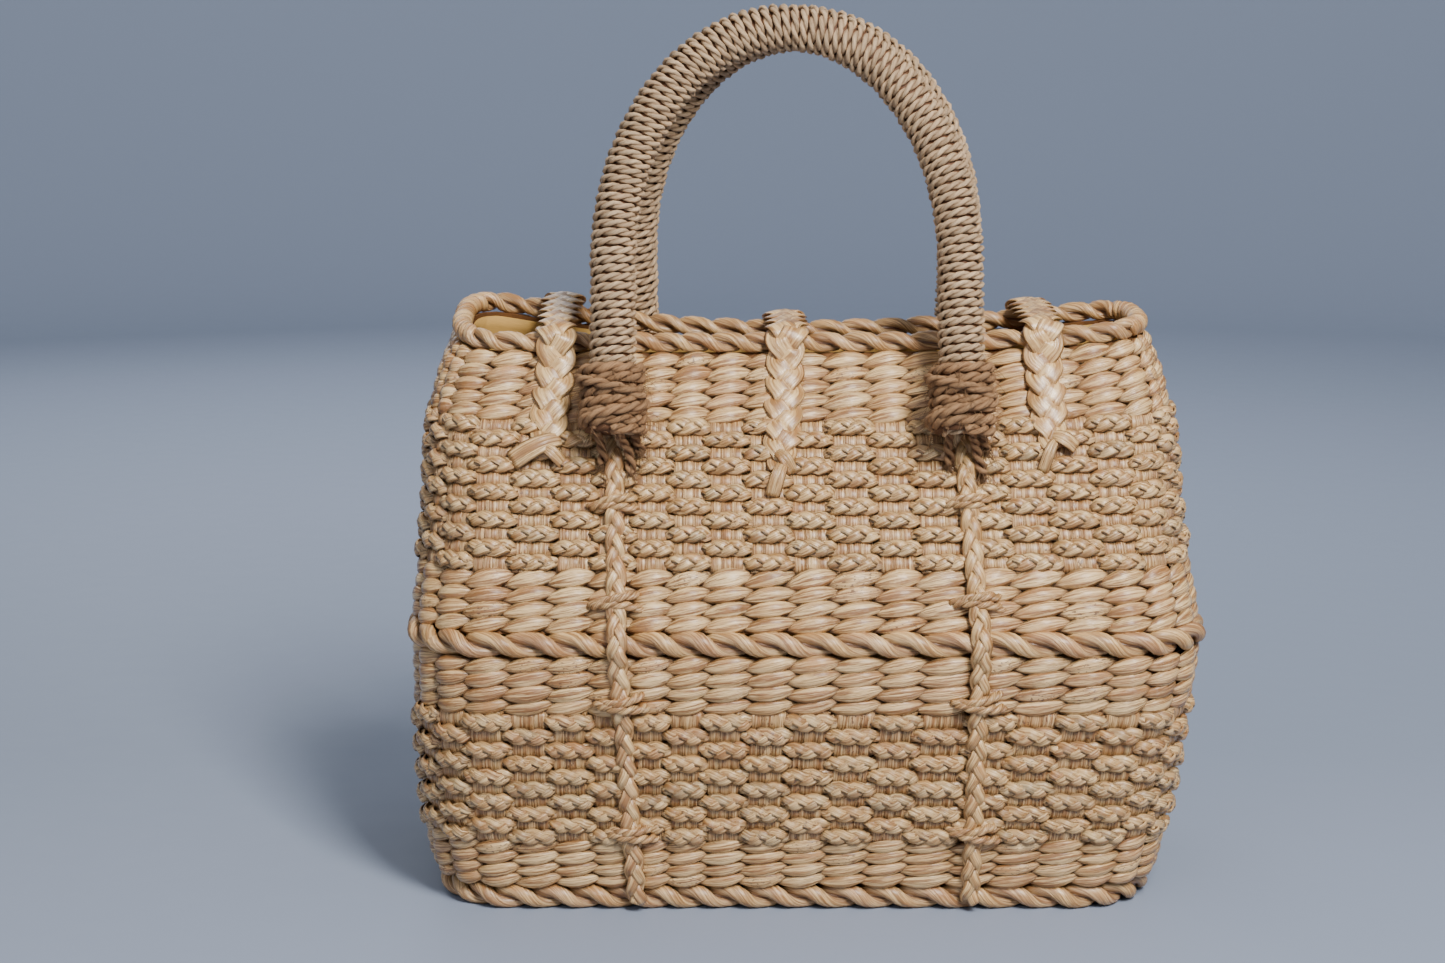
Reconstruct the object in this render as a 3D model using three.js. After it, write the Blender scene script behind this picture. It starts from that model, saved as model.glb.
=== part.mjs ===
// A woven straw handbag shaped like a little house: a box below the waist, a roof above it that
// narrows to a slit mouth, three twisted borders, two twine-wound arch handles, four braided straps
// and three braided tabs that lie across the mouth. Millimetres, +Z up, front towards -Y. The origin
// is on the floor under the middle of the bag.
import * as THREE from "three";

// Driving sizes of the body. Length and depth are those of the woven walls at the waist.
const bodyLength = 300;
const bodyDepth = 151;
const waistHeight = 105;
const roofHeight = 103.5;
const cornerRadius = 32;
const wallThickness = 4;
const footSway = 4;
const clearance = 0.3;

// The mouth: how far the middles of its long edges are pinched in, and how far its ends and its back
// edge stand above the middle of the front edge.
const mouthPinch = 11;
const mouthEndRise = 7.5;
const mouthBackRise = 3.5;

// The twisted borders, and how far inside the face of the weave the lower two have their middle.
const bottomRopeRadius = 4.7;
const waistRopeRadius = 4.7;
const rimRopeRadius = 4;
const ropeSink = 1;

const basePanelThickness = 4;
const liningThickness = 1;

// The two arch handles, measured along their own plane. The height runs from the lower end of the
// lashings to the middle of the tube at the top, and the bow is the height of the half ellipse there.
// The shifts put them off the middle of the bag.
const handleRadius = 9.2;
const handleSpan = 132;
const handleHeight = 157;
const handleBow = 91;
const handleSeatHeight = 178;
const handleFrontShift = -7.7;
const handleBackShift = -1.6;

const lashingThickness = 2.5;
const lashingLength = 27;
const lashingShoulder = 4;

const strapWidth = 9.5;
const strapThickness = 5.5;

const tabWidth = 16.5;
const tabThickness = 3.8;
const tabTipLength = 9;
const tabTipShare = 0.5;

// Sections of the body from the floor to the waist and from the waist to the rim. rise is a share of
// waistHeight or roofHeight; length, depth, corner and sway are shares of bodyLength, bodyDepth,
// cornerRadius and footSway, by which the foot is off to the left of the waist; pinch is a share of
// the mouth's pinch and rises.
const boxSections = [
  { rise: 0.0, length: 0.905, depth: 0.91, corner: 0.9, sway: -1, pinch: 0 },
  { rise: 0.1, length: 0.935, depth: 0.94, corner: 0.95, sway: -0.95, pinch: 0 },
  { rise: 0.25, length: 0.957, depth: 0.96, corner: 1, sway: -0.85, pinch: 0 },
  { rise: 0.6, length: 0.982, depth: 0.985, corner: 1, sway: -0.55, pinch: 0 },
  { rise: 1.0, length: 1, depth: 1, corner: 1, sway: 0, pinch: 0 },
];
const roofSections = [
  { rise: 0.1, length: 0.998, depth: 0.955, corner: 1, sway: -0.1, pinch: 0.01 },
  { rise: 0.25, length: 0.984, depth: 0.865, corner: 0.97, sway: -0.2, pinch: 0.06 },
  { rise: 0.45, length: 0.969, depth: 0.735, corner: 0.9, sway: -0.35, pinch: 0.2 },
  { rise: 0.65, length: 0.964, depth: 0.595, corner: 0.8, sway: -0.4, pinch: 0.42 },
  { rise: 0.8, length: 0.95, depth: 0.485, corner: 0.72, sway: -0.45, pinch: 0.64 },
  { rise: 0.92, length: 0.926, depth: 0.4, corner: 0.66, sway: -0.45, pinch: 0.85 },
  { rise: 1.0, length: 0.897, depth: 0.345, corner: 0.62, sway: -0.45, pinch: 1 },
];

// Heights at which the lining follows the walls, as shares of waistHeight and of roofHeight.
const liningBoxShares = [0.25, 0.6, 1];
const liningRoofShares = [0.25, 0.65, 0.92, 1];

// Where the straps run: across is a share of half of bodyLength at the lashing, the waist and the
// floor, and side is -1 on the front and 1 on the back.
const strapRoutes = [
  { name: "front_left", side: -1, top: -0.493, waist: -0.476, foot: -0.43 },
  { name: "front_right", side: -1, top: 0.397, waist: 0.427, foot: 0.414 },
  { name: "back_left", side: 1, top: -0.456, waist: -0.466, foot: -0.463 },
  { name: "back_right", side: 1, top: 0.434, waist: 0.444, foot: 0.437 },
];

// The tabs' places across, as shares of half of bodyLength, at the mouth and at the front end, and
// the heights of their two ends as shares of roofHeight.
const tabRoutes = [
  { name: "left", mouth: -0.643, end: -0.666, frontEnd: 0.64, backEnd: 0.72 },
  { name: "centre", mouth: -0.049, end: -0.069, frontEnd: 0.59, backEnd: 0.7 },
  { name: "right", mouth: 0.609, end: 0.624, frontEnd: 0.66, backEnd: 0.72 },
];

// How far a band leaves the wall before it climbs over a border, in times its height over the wall.
const strapLead = 2.2;
const tabLead = 1.3;

// Steps of the faceted solids.
const longSteps = 7;
const cornerSteps = 4;
const shortSteps = 3;
const ropeSides = 8;
const handleSides = 10;
const handleSteps = 36;
const lashingSides = 12;
const archSteps = 6;

const rimHeight = waistHeight + roofHeight;
const halfLength = bodyLength / 2;
const strawColour = 0xcfae7c;
const clothColour = 0xc9a964;
const twineColour = 0xb99a70;
const lashingColour = 0xa98a62;

// The body's sections turned into heights and half sizes.
const sized = (row, foot, height) => ({
  z: foot + row.rise * height,
  a: row.length * halfLength,
  b: (row.depth * bodyDepth) / 2,
  r: row.corner * cornerRadius,
  sway: row.sway * footSway,
  pinch: row.pinch * mouthPinch,
  raise: row.pinch,
});
const sections = [
  ...boxSections.map((row) => sized(row, 0, waistHeight)),
  ...roofSections.map((row) => sized(row, waistHeight, roofHeight)),
];

// The section at any height, on the straight stretch between its two neighbours.
function sectionAt(z) {
  const last = sections.length - 1;
  const above = z > rimHeight ? last : Math.max(1, sections.findIndex((s) => s.z >= z));
  const [low, high] = [sections[above - 1], sections[above]];
  const share = (z - low.z) / (high.z - low.z);
  const mixed = { z };
  for (const key of ["a", "b", "r", "sway", "pinch", "raise"]) {
    mixed[key] = THREE.MathUtils.lerp(low[key], high[key], share);
  }
  return mixed;
}

// The heights of the sections strictly between two heights, with both ends.
const heightsBetween = (low, high) => [
  low,
  ...sections.map((s) => s.z).filter((z) => z > low && z < high),
  high,
];

// One quarter of the way round the body, from the middle of a long side to the middle of a short one.
// Each station is on a stretch of the rounded rectangle, a share of the way along it. The stations are
// the same at every height, so they line up into columns.
const quarter = [
  ...Array.from({ length: longSteps }, (_, i) => ({ stretch: "long", share: i / longSteps })),
  ...Array.from({ length: cornerSteps }, (_, i) => ({ stretch: "corner", share: i / cornerSteps })),
  ...Array.from({ length: shortSteps }, (_, i) => ({ stretch: "short", share: 1 - i / shortSteps })),
  { stretch: "short", share: 0 },
];
const backwards = [...quarter].reverse();
const quarters = [
  { path: quarter, x: 1, y: -1 },
  { path: backwards, x: 1, y: 1 },
  { path: quarter, x: -1, y: 1 },
  { path: backwards, x: -1, y: -1 },
];
const stations = quarters.flatMap(({ path, x, y }) =>
  path.slice(0, -1).map((station) => ({ ...station, x, y })),
);

// The mouth's pinch fades from the middle to the ends, and its edge rises to the ends and the back.
// Both take x from the section's own middle.
const pinchAt = (x, section) =>
  section.pinch * Math.cos((Math.PI / 2) * Math.min(1, Math.abs(x) / section.a)) ** 2;
const raiseAt = (x, y, section) =>
  section.raise * (mouthEndRise * (x / section.a) ** 2 + (mouthBackRise * y) / (2 * section.b));

// A point of the body's surface at a station, moved outwards by offset and up by lift.
function bodyPoint(section, station, offset, lift) {
  const { a, b, r } = section;
  let x = a + offset;
  let y = b + offset;
  if (station.stretch === "long") x = (a - r) * station.share;
  if (station.stretch === "short") y = (b - r) * station.share;
  if (station.stretch === "corner") {
    const angle = (1 - station.share) * (Math.PI / 2);
    x = a - r + (r + offset) * Math.cos(angle);
    y = b - r + (r + offset) * Math.sin(angle);
  }
  y -= pinchAt(x, section) * (y / (b + offset));
  x *= station.x;
  y *= station.y;
  return new THREE.Vector3(x + section.sway, y, section.z + lift + raiseAt(x, y, section));
}
const ring = (section, offset, lift = 0) =>
  stations.map((station) => bodyPoint(section, station, offset, lift));

// A point of the front (side -1) or back (side 1), moved level outwards by offset.
function facePoint(x, z, side, offset) {
  const section = sectionAt(z);
  const ownX = x - section.sway;
  const y = side * (section.b + offset - pinchAt(ownX, section));
  return new THREE.Vector3(x, y, z + raiseAt(ownX, y, section));
}

// The same, moved square to the leaning wall, with the direction across the wall there.
function wallStep(x, z, side, distance) {
  const rise = facePoint(x, z + 1, side, 0).sub(facePoint(x, z - 1, side, 0));
  const offset = distance * Math.hypot(1, rise.y / rise.z);
  const across = facePoint(x + 1, z, side, offset).sub(facePoint(x - 1, z, side, offset));
  return { point: facePoint(x, z, side, offset), across };
}

// A closed body from rings of equal length. Each ring is joined to the next. Where closed is true the
// last is joined to the first, and otherwise the first and the last are capped.
function loft(rings, closed) {
  const count = rings[0].length;
  const points = rings.flat();
  const faces = [];
  const joins = closed ? rings.length : rings.length - 1;
  for (let i = 0; i < joins; i += 1) {
    const low = i * count;
    const high = ((i + 1) % rings.length) * count;
    for (let k = 0; k < count; k += 1) {
      const next = (k + 1) % count;
      faces.push(low + k, low + next, high + next, low + k, high + next, high + k);
    }
  }
  if (!closed) {
    const middle = (of) => of.reduce((sum, p) => sum.add(p), new THREE.Vector3());
    const last = (rings.length - 1) * count;
    const first = points.push(middle(rings[0]).divideScalar(count)) - 1;
    const end = points.push(middle(rings[rings.length - 1]).divideScalar(count)) - 1;
    for (let k = 0; k < count; k += 1) {
      const next = (k + 1) % count;
      faces.push(first, next, k, end, last + k, last + next);
    }
  }
  const geometry = new THREE.BufferGeometry().setFromPoints(points);
  geometry.setIndex(faces);
  geometry.computeVertexNormals();
  return geometry;
}

// A woven wall between two heights: up the outside and down the inside.
function wall(low, high) {
  const heights = heightsBetween(low, high);
  const outside = heights.map((z) => ring(sectionAt(z), 0));
  const inside = heights.map((z) => ring(sectionAt(z), -wallThickness)).reverse();
  return loft([...outside, ...inside], true);
}

// How far the corners of a border's section reach from its middle.
const ropeReach = (radius) => radius / Math.cos(Math.PI / ropeSides);

// A border that follows the body at one height: a many-sided section with a flat underside.
function border(section, radius, offset, lift) {
  const rings = Array.from({ length: ropeSides }, (_, i) => {
    const angle = ((i + 0.5) * 2 * Math.PI) / ropeSides;
    const [out, up] = [Math.cos(angle), Math.sin(angle)].map((share) => share * ropeReach(radius));
    return ring(section, offset + out, lift + up);
  });
  return loft(rings, true);
}

const group = new THREE.Group();
function add(name, geometry, color, roughness, parent = group) {
  const material = new THREE.MeshStandardMaterial({ color, roughness, metalness: 0 });
  const mesh = new THREE.Mesh(geometry, material);
  mesh.name = name;
  parent.add(mesh);
  return mesh;
}

// Where the walls and the borders meet. The rim border sits on the middle of the wall's top edge.
const boxWallFoot = 2 * bottomRopeRadius + clearance;
const boxWallTop = waistHeight - waistRopeRadius - clearance;
const roofWallFoot = waistHeight + waistRopeRadius + clearance;
const rimRopeLift = rimRopeRadius + clearance;
const rimRopeOffset = -wallThickness / 2;

function addBody() {
  const foot = sectionAt(0);
  const waist = sectionAt(waistHeight);
  const rim = sectionAt(rimHeight);
  const addStraw = (name, geometry) => add(name, geometry, strawColour, 0.55);
  addStraw("bottom_border", border(foot, bottomRopeRadius, -ropeSink, bottomRopeRadius));
  addStraw("box_wall", wall(boxWallFoot, boxWallTop));
  addStraw("waist_border", border(waist, waistRopeRadius, -ropeSink, 0));
  addStraw("roof_wall", wall(roofWallFoot, rimHeight));
  addStraw("rim_border", border(rim, rimRopeRadius, rimRopeOffset, rimRopeLift));

  // The base panel lies level with the middle of the bottom border and meets it all round.
  const panelEdge = -ropeSink - ropeReach(bottomRopeRadius) - clearance;
  const panelFoot = bottomRopeRadius - basePanelThickness / 2;
  const panelTop = panelFoot + basePanelThickness;
  addStraw("base_panel", loft([ring(foot, panelEdge, panelFoot), ring(foot, panelEdge, panelTop)], false));

  // The lining lies on the base panel and hangs just inside the walls and the waist border, up to the
  // rim border.
  const liningEdge = -ropeSink - ropeReach(waistRopeRadius) - clearance;
  const liningHeights = [
    ...liningBoxShares.map((share) => share * waistHeight),
    ...liningRoofShares.map((share) => waistHeight + share * roofHeight),
  ];
  const skin = (inset, lift) => [
    ring(foot, panelEdge - inset, panelTop + clearance + lift),
    ...liningHeights.map((z) => ring(sectionAt(z), liningEdge - inset)),
  ];
  const outside = skin(0, 0);
  const inside = skin(liningThickness, liningThickness).reverse();
  add("lining", loft([...outside, ...inside], false), clothColour, 0.85);
}

// An arch in the XZ plane: a leg up from x = -half, half an ellipse, and a leg down at x = half. Each
// leg takes a quarter of the parameter.
class Arch extends THREE.Curve {
  constructor(half, height, bow) {
    super();
    this.half = half;
    this.leg = height - bow;
    this.bow = bow;
  }
  getPoint(t, target = new THREE.Vector3()) {
    if (t < 0.25) return target.set(-this.half, 0, this.leg * 4 * t);
    if (t > 0.75) return target.set(this.half, 0, this.leg * 4 * (1 - t));
    const angle = (0.75 - t) * 2 * Math.PI;
    return target.set(this.half * Math.cos(angle), 0, this.leg + this.bow * Math.sin(angle));
  }
}

// The round section of a handle. Its corners reach a little further than its radius.
const handleReach = handleRadius / Math.cos(Math.PI / handleSides);
function handleSection() {
  const corners = Array.from({ length: handleSides }, (_, i) => {
    const angle = ((i + 0.5) * 2 * Math.PI) / handleSides;
    return new THREE.Vector2(handleReach * Math.cos(angle), handleReach * Math.sin(angle));
  });
  return new THREE.Shape(corners);
}

// A lashing's bore clears the handle at its flats, and its corners reach lashingReach.
const lashingBore = (handleReach + clearance) / Math.cos(Math.PI / lashingSides);
const lashingReach = lashingBore + lashingThickness;

// Where a handle sits. The lower inner edges of its lashings touch the roof, and its arch leans in
// until it meets the other handle over the middle of the bag. One tilt gives both.
function handleSeat(side, shift) {
  const depths = [shift - handleSpan / 2, shift + handleSpan / 2].map((x) => {
    const raised = facePoint(x, handleSeatHeight, side, 0).z - handleSeatHeight;
    return Math.abs(facePoint(x, handleSeatHeight - raised, side, clearance).y);
  });
  const seat = Math.max(...depths);
  const lean = seat - handleReach - clearance / 2;
  const slant = Math.hypot(lashingReach, handleHeight);
  const tilt = Math.atan2(lashingReach, handleHeight) + Math.asin(lean / slant);
  const y = side * (seat + lashingReach * Math.cos(tilt));
  const z = handleSeatHeight + lashingReach * Math.sin(tilt);
  return { y, z, tilt };
}

function addHandle(name, side, shift) {
  const seat = handleSeat(side, shift);
  const pose = new THREE.Group();
  pose.position.set(shift, seat.y, seat.z);
  pose.rotation.x = side * seat.tilt;
  group.add(pose);

  const half = handleSpan / 2;
  const tube = new THREE.ExtrudeGeometry(handleSection(), {
    steps: handleSteps,
    bevelEnabled: false,
    extrudePath: new Arch(half, handleHeight, handleBow),
  });
  add(`handle_${name}`, tube, twineColour, 0.8, pose);

  // A lashing is a thick collar of twine round the lower end of a leg, with a sloping upper end.
  const profile = [
    [lashingBore, 0],
    [lashingReach, 0],
    [lashingReach, lashingLength - lashingShoulder],
    [lashingReach - lashingThickness / 2, lashingLength],
    [lashingBore, lashingLength],
    [lashingBore, 0],
  ].map(([x, y]) => new THREE.Vector2(x, y));
  for (const [end, x] of [["left", -half], ["right", half]]) {
    const collar = new THREE.LatheGeometry(profile, lashingSides);
    const lashing = add(`lashing_${name}_${end}`, collar, lashingColour, 0.85, pose);
    lashing.rotation.x = Math.PI / 2;
    lashing.position.x = x;
  }
}

// A flat braid: a bevelled section carried along a path. Each step of the path holds a point of the
// braid's middle, the direction that its width follows and, where it tapers, its share of the width.
function braid(path, width, thickness) {
  const [w, t] = [width / 2, thickness / 2];
  const corners = [[-w, -t / 2], [t / 2 - w, -t], [w - t / 2, -t], [w, -t / 2]];
  const outline = [...corners, ...corners.map(([u, v]) => [-u, -v])];
  const rings = path.map(({ point, across, share = 1 }, i) => {
    const before = point.clone().sub(path[Math.max(i - 1, 0)].point).normalize();
    const after = path[Math.min(i + 1, path.length - 1)].point.clone().sub(point).normalize();
    const along = before.add(after).normalize();
    const sideways = across.clone().addScaledVector(along, -across.dot(along)).normalize();
    const out = new THREE.Vector3().crossVectors(along, sideways);
    return outline.map(([u, v]) =>
      point.clone().addScaledVector(sideways, u * share).addScaledVector(out, v),
    );
  });
  return loft(rings, false);
}

// The angle at which a straight line from a point of a wall touches the outer side of a circle round
// a border. turn is 1 from a point below the border and -1 from one above it.
function touchAngle(point, centre, radius, turn) {
  const out = Math.abs(point.y) - Math.abs(centre.y);
  const up = point.z - centre.z;
  return Math.atan2(up, out) + turn * Math.acos(radius / Math.hypot(out, up));
}

// The steps of a band over a border, from one angle to another, on a circle round the border's middle.
function archOver(centre, across, radius, side, from, to) {
  return Array.from({ length: archSteps + 1 }, (_, i) => {
    const angle = THREE.MathUtils.lerp(from, to, i / archSteps);
    const level = new THREE.Vector3(0, side * radius * Math.cos(angle), radius * Math.sin(angle));
    return { point: level.add(centre), across };
  });
}

// A strap comes down the roof from under its lashing, over the waist border, and down the box to the
// bottom border.
function addStrap({ name, side, top, waist, foot }) {
  const lie = clearance + strapThickness / 2;
  const hump = ropeReach(waistRopeRadius) + lie;
  const start = handleSeatHeight - strapThickness / 2;
  const acrossAt = (z) =>
    halfLength *
    (z > waistHeight
      ? THREE.MathUtils.mapLinear(z, waistHeight, start, waist, top)
      : THREE.MathUtils.mapLinear(z, 0, waistHeight, foot, waist));
  const onWall = (low, high) =>
    heightsBetween(low, high).map((z) => wallStep(acrossAt(z), z, side, lie)).reverse();
  const roof = onWall(waistHeight + strapLead * hump, start);
  const box = onWall(boxWallFoot + clearance, waistHeight - strapLead * hump);

  const centre = facePoint(acrossAt(waistHeight), waistHeight, side, -ropeSink);
  const from = touchAngle(roof[roof.length - 1].point, centre, hump, -1);
  const to = touchAngle(box[0].point, centre, hump, 1);
  const over = archOver(centre, roof[0].across, hump, side, from, to);
  const path = [...roof, ...over, ...box];
  add(`strap_${name}`, braid(path, strapWidth, strapThickness), strawColour, 0.55);
}

// A tab lies on the front of the roof, goes over both edges of the mouth and ends on the back.
function addTab({ name, mouth, end, frontEnd, backEnd }) {
  const lie = clearance + tabThickness / 2;
  const reach = ropeReach(rimRopeRadius) + lie;
  const leave = rimHeight - tabLead * reach;
  const half = (side, endHeight, endAcross) => {
    const acrossAt = (z) =>
      halfLength * THREE.MathUtils.mapLinear(z, endHeight, rimHeight, endAcross, mouth);
    const tip = { ...wallStep(acrossAt(endHeight), endHeight, side, lie), share: tabTipShare };
    const onWall = heightsBetween(endHeight + tabTipLength, leave).map((z) =>
      wallStep(acrossAt(z), z, side, lie),
    );
    const centre = facePoint(mouth * halfLength, rimHeight, side, rimRopeOffset);
    centre.z += rimRopeLift;
    const { point, across } = onWall[onWall.length - 1];
    const from = touchAngle(point, centre, reach, 1);
    return [tip, ...onWall, ...archOver(centre, across, reach, side, from, Math.PI / 2)];
  };
  const front = half(-1, waistHeight + frontEnd * roofHeight, end);
  const back = half(1, waistHeight + backEnd * roofHeight, mouth).reverse();
  add(`tab_${name}`, braid([...front, ...back], tabWidth, tabThickness), strawColour, 0.55);
}

addBody();
addHandle("front", -1, handleFrontShift);
addHandle("back", 1, handleBackShift);
strapRoutes.forEach(addStrap);
tabRoutes.forEach(addTab);

export default group;
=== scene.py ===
"""Looks of a woven straw handbag with two twine-wound handles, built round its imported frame.

Lengths are in metres. The bag stands on z = 0 with its front towards -Y. A place on its woven face is
given by a column, counted round the bag from the middle of the front, and a height.
"""

import math

import bpy
import numpy as np
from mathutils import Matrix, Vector


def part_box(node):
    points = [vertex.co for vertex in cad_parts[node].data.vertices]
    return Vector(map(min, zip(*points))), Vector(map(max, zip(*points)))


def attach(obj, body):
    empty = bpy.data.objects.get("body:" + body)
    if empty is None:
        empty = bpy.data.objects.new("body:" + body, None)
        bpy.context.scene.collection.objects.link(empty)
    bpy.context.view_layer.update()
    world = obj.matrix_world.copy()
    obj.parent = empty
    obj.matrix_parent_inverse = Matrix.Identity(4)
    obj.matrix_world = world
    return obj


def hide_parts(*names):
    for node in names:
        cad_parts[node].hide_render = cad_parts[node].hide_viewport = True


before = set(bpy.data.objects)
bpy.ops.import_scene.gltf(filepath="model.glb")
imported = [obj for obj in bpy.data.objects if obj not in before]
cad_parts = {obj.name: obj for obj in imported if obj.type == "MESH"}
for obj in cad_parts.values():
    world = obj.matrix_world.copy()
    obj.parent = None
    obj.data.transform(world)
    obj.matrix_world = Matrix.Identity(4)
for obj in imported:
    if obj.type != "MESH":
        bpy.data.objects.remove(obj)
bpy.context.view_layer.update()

bl_info = {
    "name": "Woven straw handbag",
    "version": (1, 0, 0),
    "blender": (4, 5, 0),
    "location": "View3D > Sidebar > Handbag",
    "description": "Weaves the walls, borders, handles, straps and tabs of a straw handbag",
    "category": "Add Mesh",
}

MM = 0.001
TURN = 2 * math.pi

# Sections of the body: rise, then shares of the length, depth, corner radius and foot sway, and of
# the mouth's pinch. The rise is a share of the waist's height, and then of the roof's.
BOX_SECTIONS = [
    (0.0, 0.905, 0.91, 0.9, -1, 0),
    (0.1, 0.935, 0.94, 0.95, -0.95, 0),
    (0.25, 0.957, 0.96, 1, -0.85, 0),
    (0.6, 0.982, 0.985, 1, -0.55, 0),
    (1.0, 1, 1, 1, 0, 0),
]
ROOF_SECTIONS = [
    (0.1, 0.998, 0.955, 1, -0.1, 0.01),
    (0.25, 0.984, 0.865, 0.97, -0.2, 0.06),
    (0.45, 0.969, 0.735, 0.9, -0.35, 0.2),
    (0.65, 0.964, 0.595, 0.8, -0.4, 0.42),
    (0.8, 0.95, 0.485, 0.72, -0.45, 0.64),
    (0.92, 0.926, 0.4, 0.66, -0.45, 0.85),
    (1.0, 0.897, 0.345, 0.62, -0.45, 1),
]

# Columns of the weave: on the front or back, and on a side. The front's own widths, from left to
# right, in shares of each other.
FRONT_COLUMNS = 18
SIDE_COLUMNS = 9
ALL_COLUMNS = 2 * (FRONT_COLUMNS + SIDE_COLUMNS)
FRONT_WIDTHS = (36, 42, 42, 40, 39, 37, 37, 41, 42, 42, 44, 41, 49, 44, 46, 43, 40, 37)

# Rows from the bottom up: the kind of row and its thickness in millimetres.
BOX_ROWS = (
    [("twined", 4.8)] * 4
    + [("braided", 4.5 + 0.15 * i) for i in range(10)]
    + [("twined", 5.6)] * 4
)
ROOF_ROWS = (
    [("twined", 5.6)] * 3
    + [("twined", 6.6)]
    + [("braided", 5.4)] * 11
    + [("twined", 5.8)] * 5
)

# Cross-sections of a strand: shares of its half width and half height, counterclockwise round its
# direction, with the crown at the top.
LENS = ((-1, -0.1), (0, -0.8), (1, -0.1), (0.62, 0.72), (0, 1), (-0.62, 0.72))
RIBBON = ((-1, -0.4), (0, -0.7), (1, -0.4), (0.5, 0.75), (-0.5, 0.75))
FLAT_STEM = ((-1, -0.1), (0, -0.8), (1, -0.1), (0.52, 0.9), (-0.52, 0.9))


def round_section(sides):
    """Points of a circle of radius 1."""
    turn = TURN * np.arange(sides) / sides
    return tuple(zip(np.cos(turn), np.sin(turn)))


def length_property(name, description, default):
    return bpy.props.FloatProperty(
        name=name, description=description, default=default, unit="LENGTH", precision=4
    )


def colour_property(name, description, default):
    return bpy.props.FloatVectorProperty(
        name=name, description=description, default=default, subtype="COLOR", min=0, max=1
    )


class BagBody(bpy.types.PropertyGroup):
    """Sizes of the woven body."""

    length: length_property("Length", "Length of the walls at the waist", 0.3)
    depth: length_property("Depth", "Depth of the walls at the waist", 0.151)
    waist_height: length_property("Waist height", "Height of the waist border", 0.105)
    roof_height: length_property("Roof height", "From the waist to the rim", 0.1035)
    corner_radius: length_property("Corner radius", "Corners at the waist", 0.032)
    foot_sway: length_property("Foot sway", "How far the foot is off the waist", 0.004)
    mouth_pinch: length_property("Mouth pinch", "How far the mouth's middle is pinched", 0.011)
    mouth_end_rise: length_property("Mouth end rise", "Lift of the mouth's ends", 0.0075)
    mouth_back_rise: length_property("Mouth back rise", "Lift of the back edge", 0.0035)
    mouth_gape: length_property("Mouth gape", "How far the left end of the mouth opens", 0.0045)
    lower_rope: length_property("Lower ropes", "Radius of the bottom and waist borders", 0.0047)
    rim_rope: length_property("Rim rope", "Radius of the rim border", 0.004)
    rope_sink: length_property("Rope sink", "Lower borders' middles behind the face", 0.001)
    wall: length_property("Wall", "Thickness of the woven walls", 0.004)


class BagHandles(bpy.types.PropertyGroup):
    """Sizes of the handles and the twine round them."""

    radius: length_property("Radius", "Radius of a wound handle", 0.0092)
    span: length_property("Span", "Between the legs' middles", 0.132)
    height: length_property("Height", "From the lower end to the top of the arch", 0.157)
    bow: length_property("Bow", "Height of the half ellipse", 0.091)
    turn: length_property("Turn", "Distance between two turns of twine", 0.00345)
    lashing_length: length_property("Lashing length", "Length of the tied collars", 0.027)
    lashing_radius: length_property("Lashing radius", "Outside of the tied collars", 0.0128)


class BagBraids(bpy.types.PropertyGroup):
    """Sizes of the straps and the tabs."""

    strap_width: length_property("Strap width", "Width of a strap", 0.0092)
    strap_facet: length_property("Strap facet", "Length that one strand shows", 0.0087)
    tab_width: length_property("Tab width", "Width of a tab", 0.0165)
    tab_facet: length_property("Tab facet", "Length that one strand shows", 0.0088)


class BagColours(bpy.types.PropertyGroup):
    """Base colours of the fibres and the cloth."""

    pale: colour_property("Pale straw", "Bleached strands", (0.76, 0.52, 0.245))
    straw: colour_property("Straw", "Most strands", (0.61, 0.35, 0.125))
    pink: colour_property("Pinkish straw", "Strands from nearer the root", (0.53, 0.275, 0.12))
    amber: colour_property("Amber straw", "Stained strands", (0.44, 0.185, 0.045))
    green: colour_property("Green straw", "Strands dried green", (0.40, 0.31, 0.165))
    # Painted shade: the gap colour darkens the strands where they go down, along their sides and on
    # their undersides, and colours the dark inner tubes and shells; it also colours the real dark specks
    # on a few strands.
    gap: colour_property("Gap", "Deep between the strands", (0.13, 0.055, 0.022))
    twine: colour_property("Twine", "Twine of the handles", (0.56, 0.40, 0.24))
    lashing: colour_property("Lashing", "Rough twine of the lashings", (0.26, 0.145, 0.068))
    cloth: colour_property("Lining", "Cloth of the lining", (0.58, 0.34, 0.09))
    floor: colour_property("Floor", "Pale floor", (0.26, 0.305, 0.40))


def body():
    return bpy.context.scene.bag_body


def handles():
    return bpy.context.scene.bag_handles


def braids():
    return bpy.context.scene.bag_braids


def colours():
    return bpy.context.scene.bag_colours


# ---- Small numpy tools


def unit(vectors):
    """Vectors brought to length 1."""
    return vectors / np.maximum(np.linalg.norm(vectors, axis=-1, keepdims=True), 1e-12)


def square_to(vectors, directions):
    """The part of each vector that is square to a unit direction, brought to length 1."""
    return unit(vectors - (vectors * directions).sum(-1, keepdims=True) * directions)


def tangents(path, closed=False):
    """Directions along a path [..., N, 3], by central differences."""
    if closed:
        return unit(np.roll(path, -1, axis=-2) - np.roll(path, 1, axis=-2))
    return unit(np.gradient(path, axis=-2))


def run_along(path):
    """Length from the start of a path [..., N, 3] to each of its points."""
    steps = np.linalg.norm(np.diff(path, axis=-2), axis=-1)
    return np.concatenate([np.zeros_like(steps[..., :1]), np.cumsum(steps, axis=-1)], -1)


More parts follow.
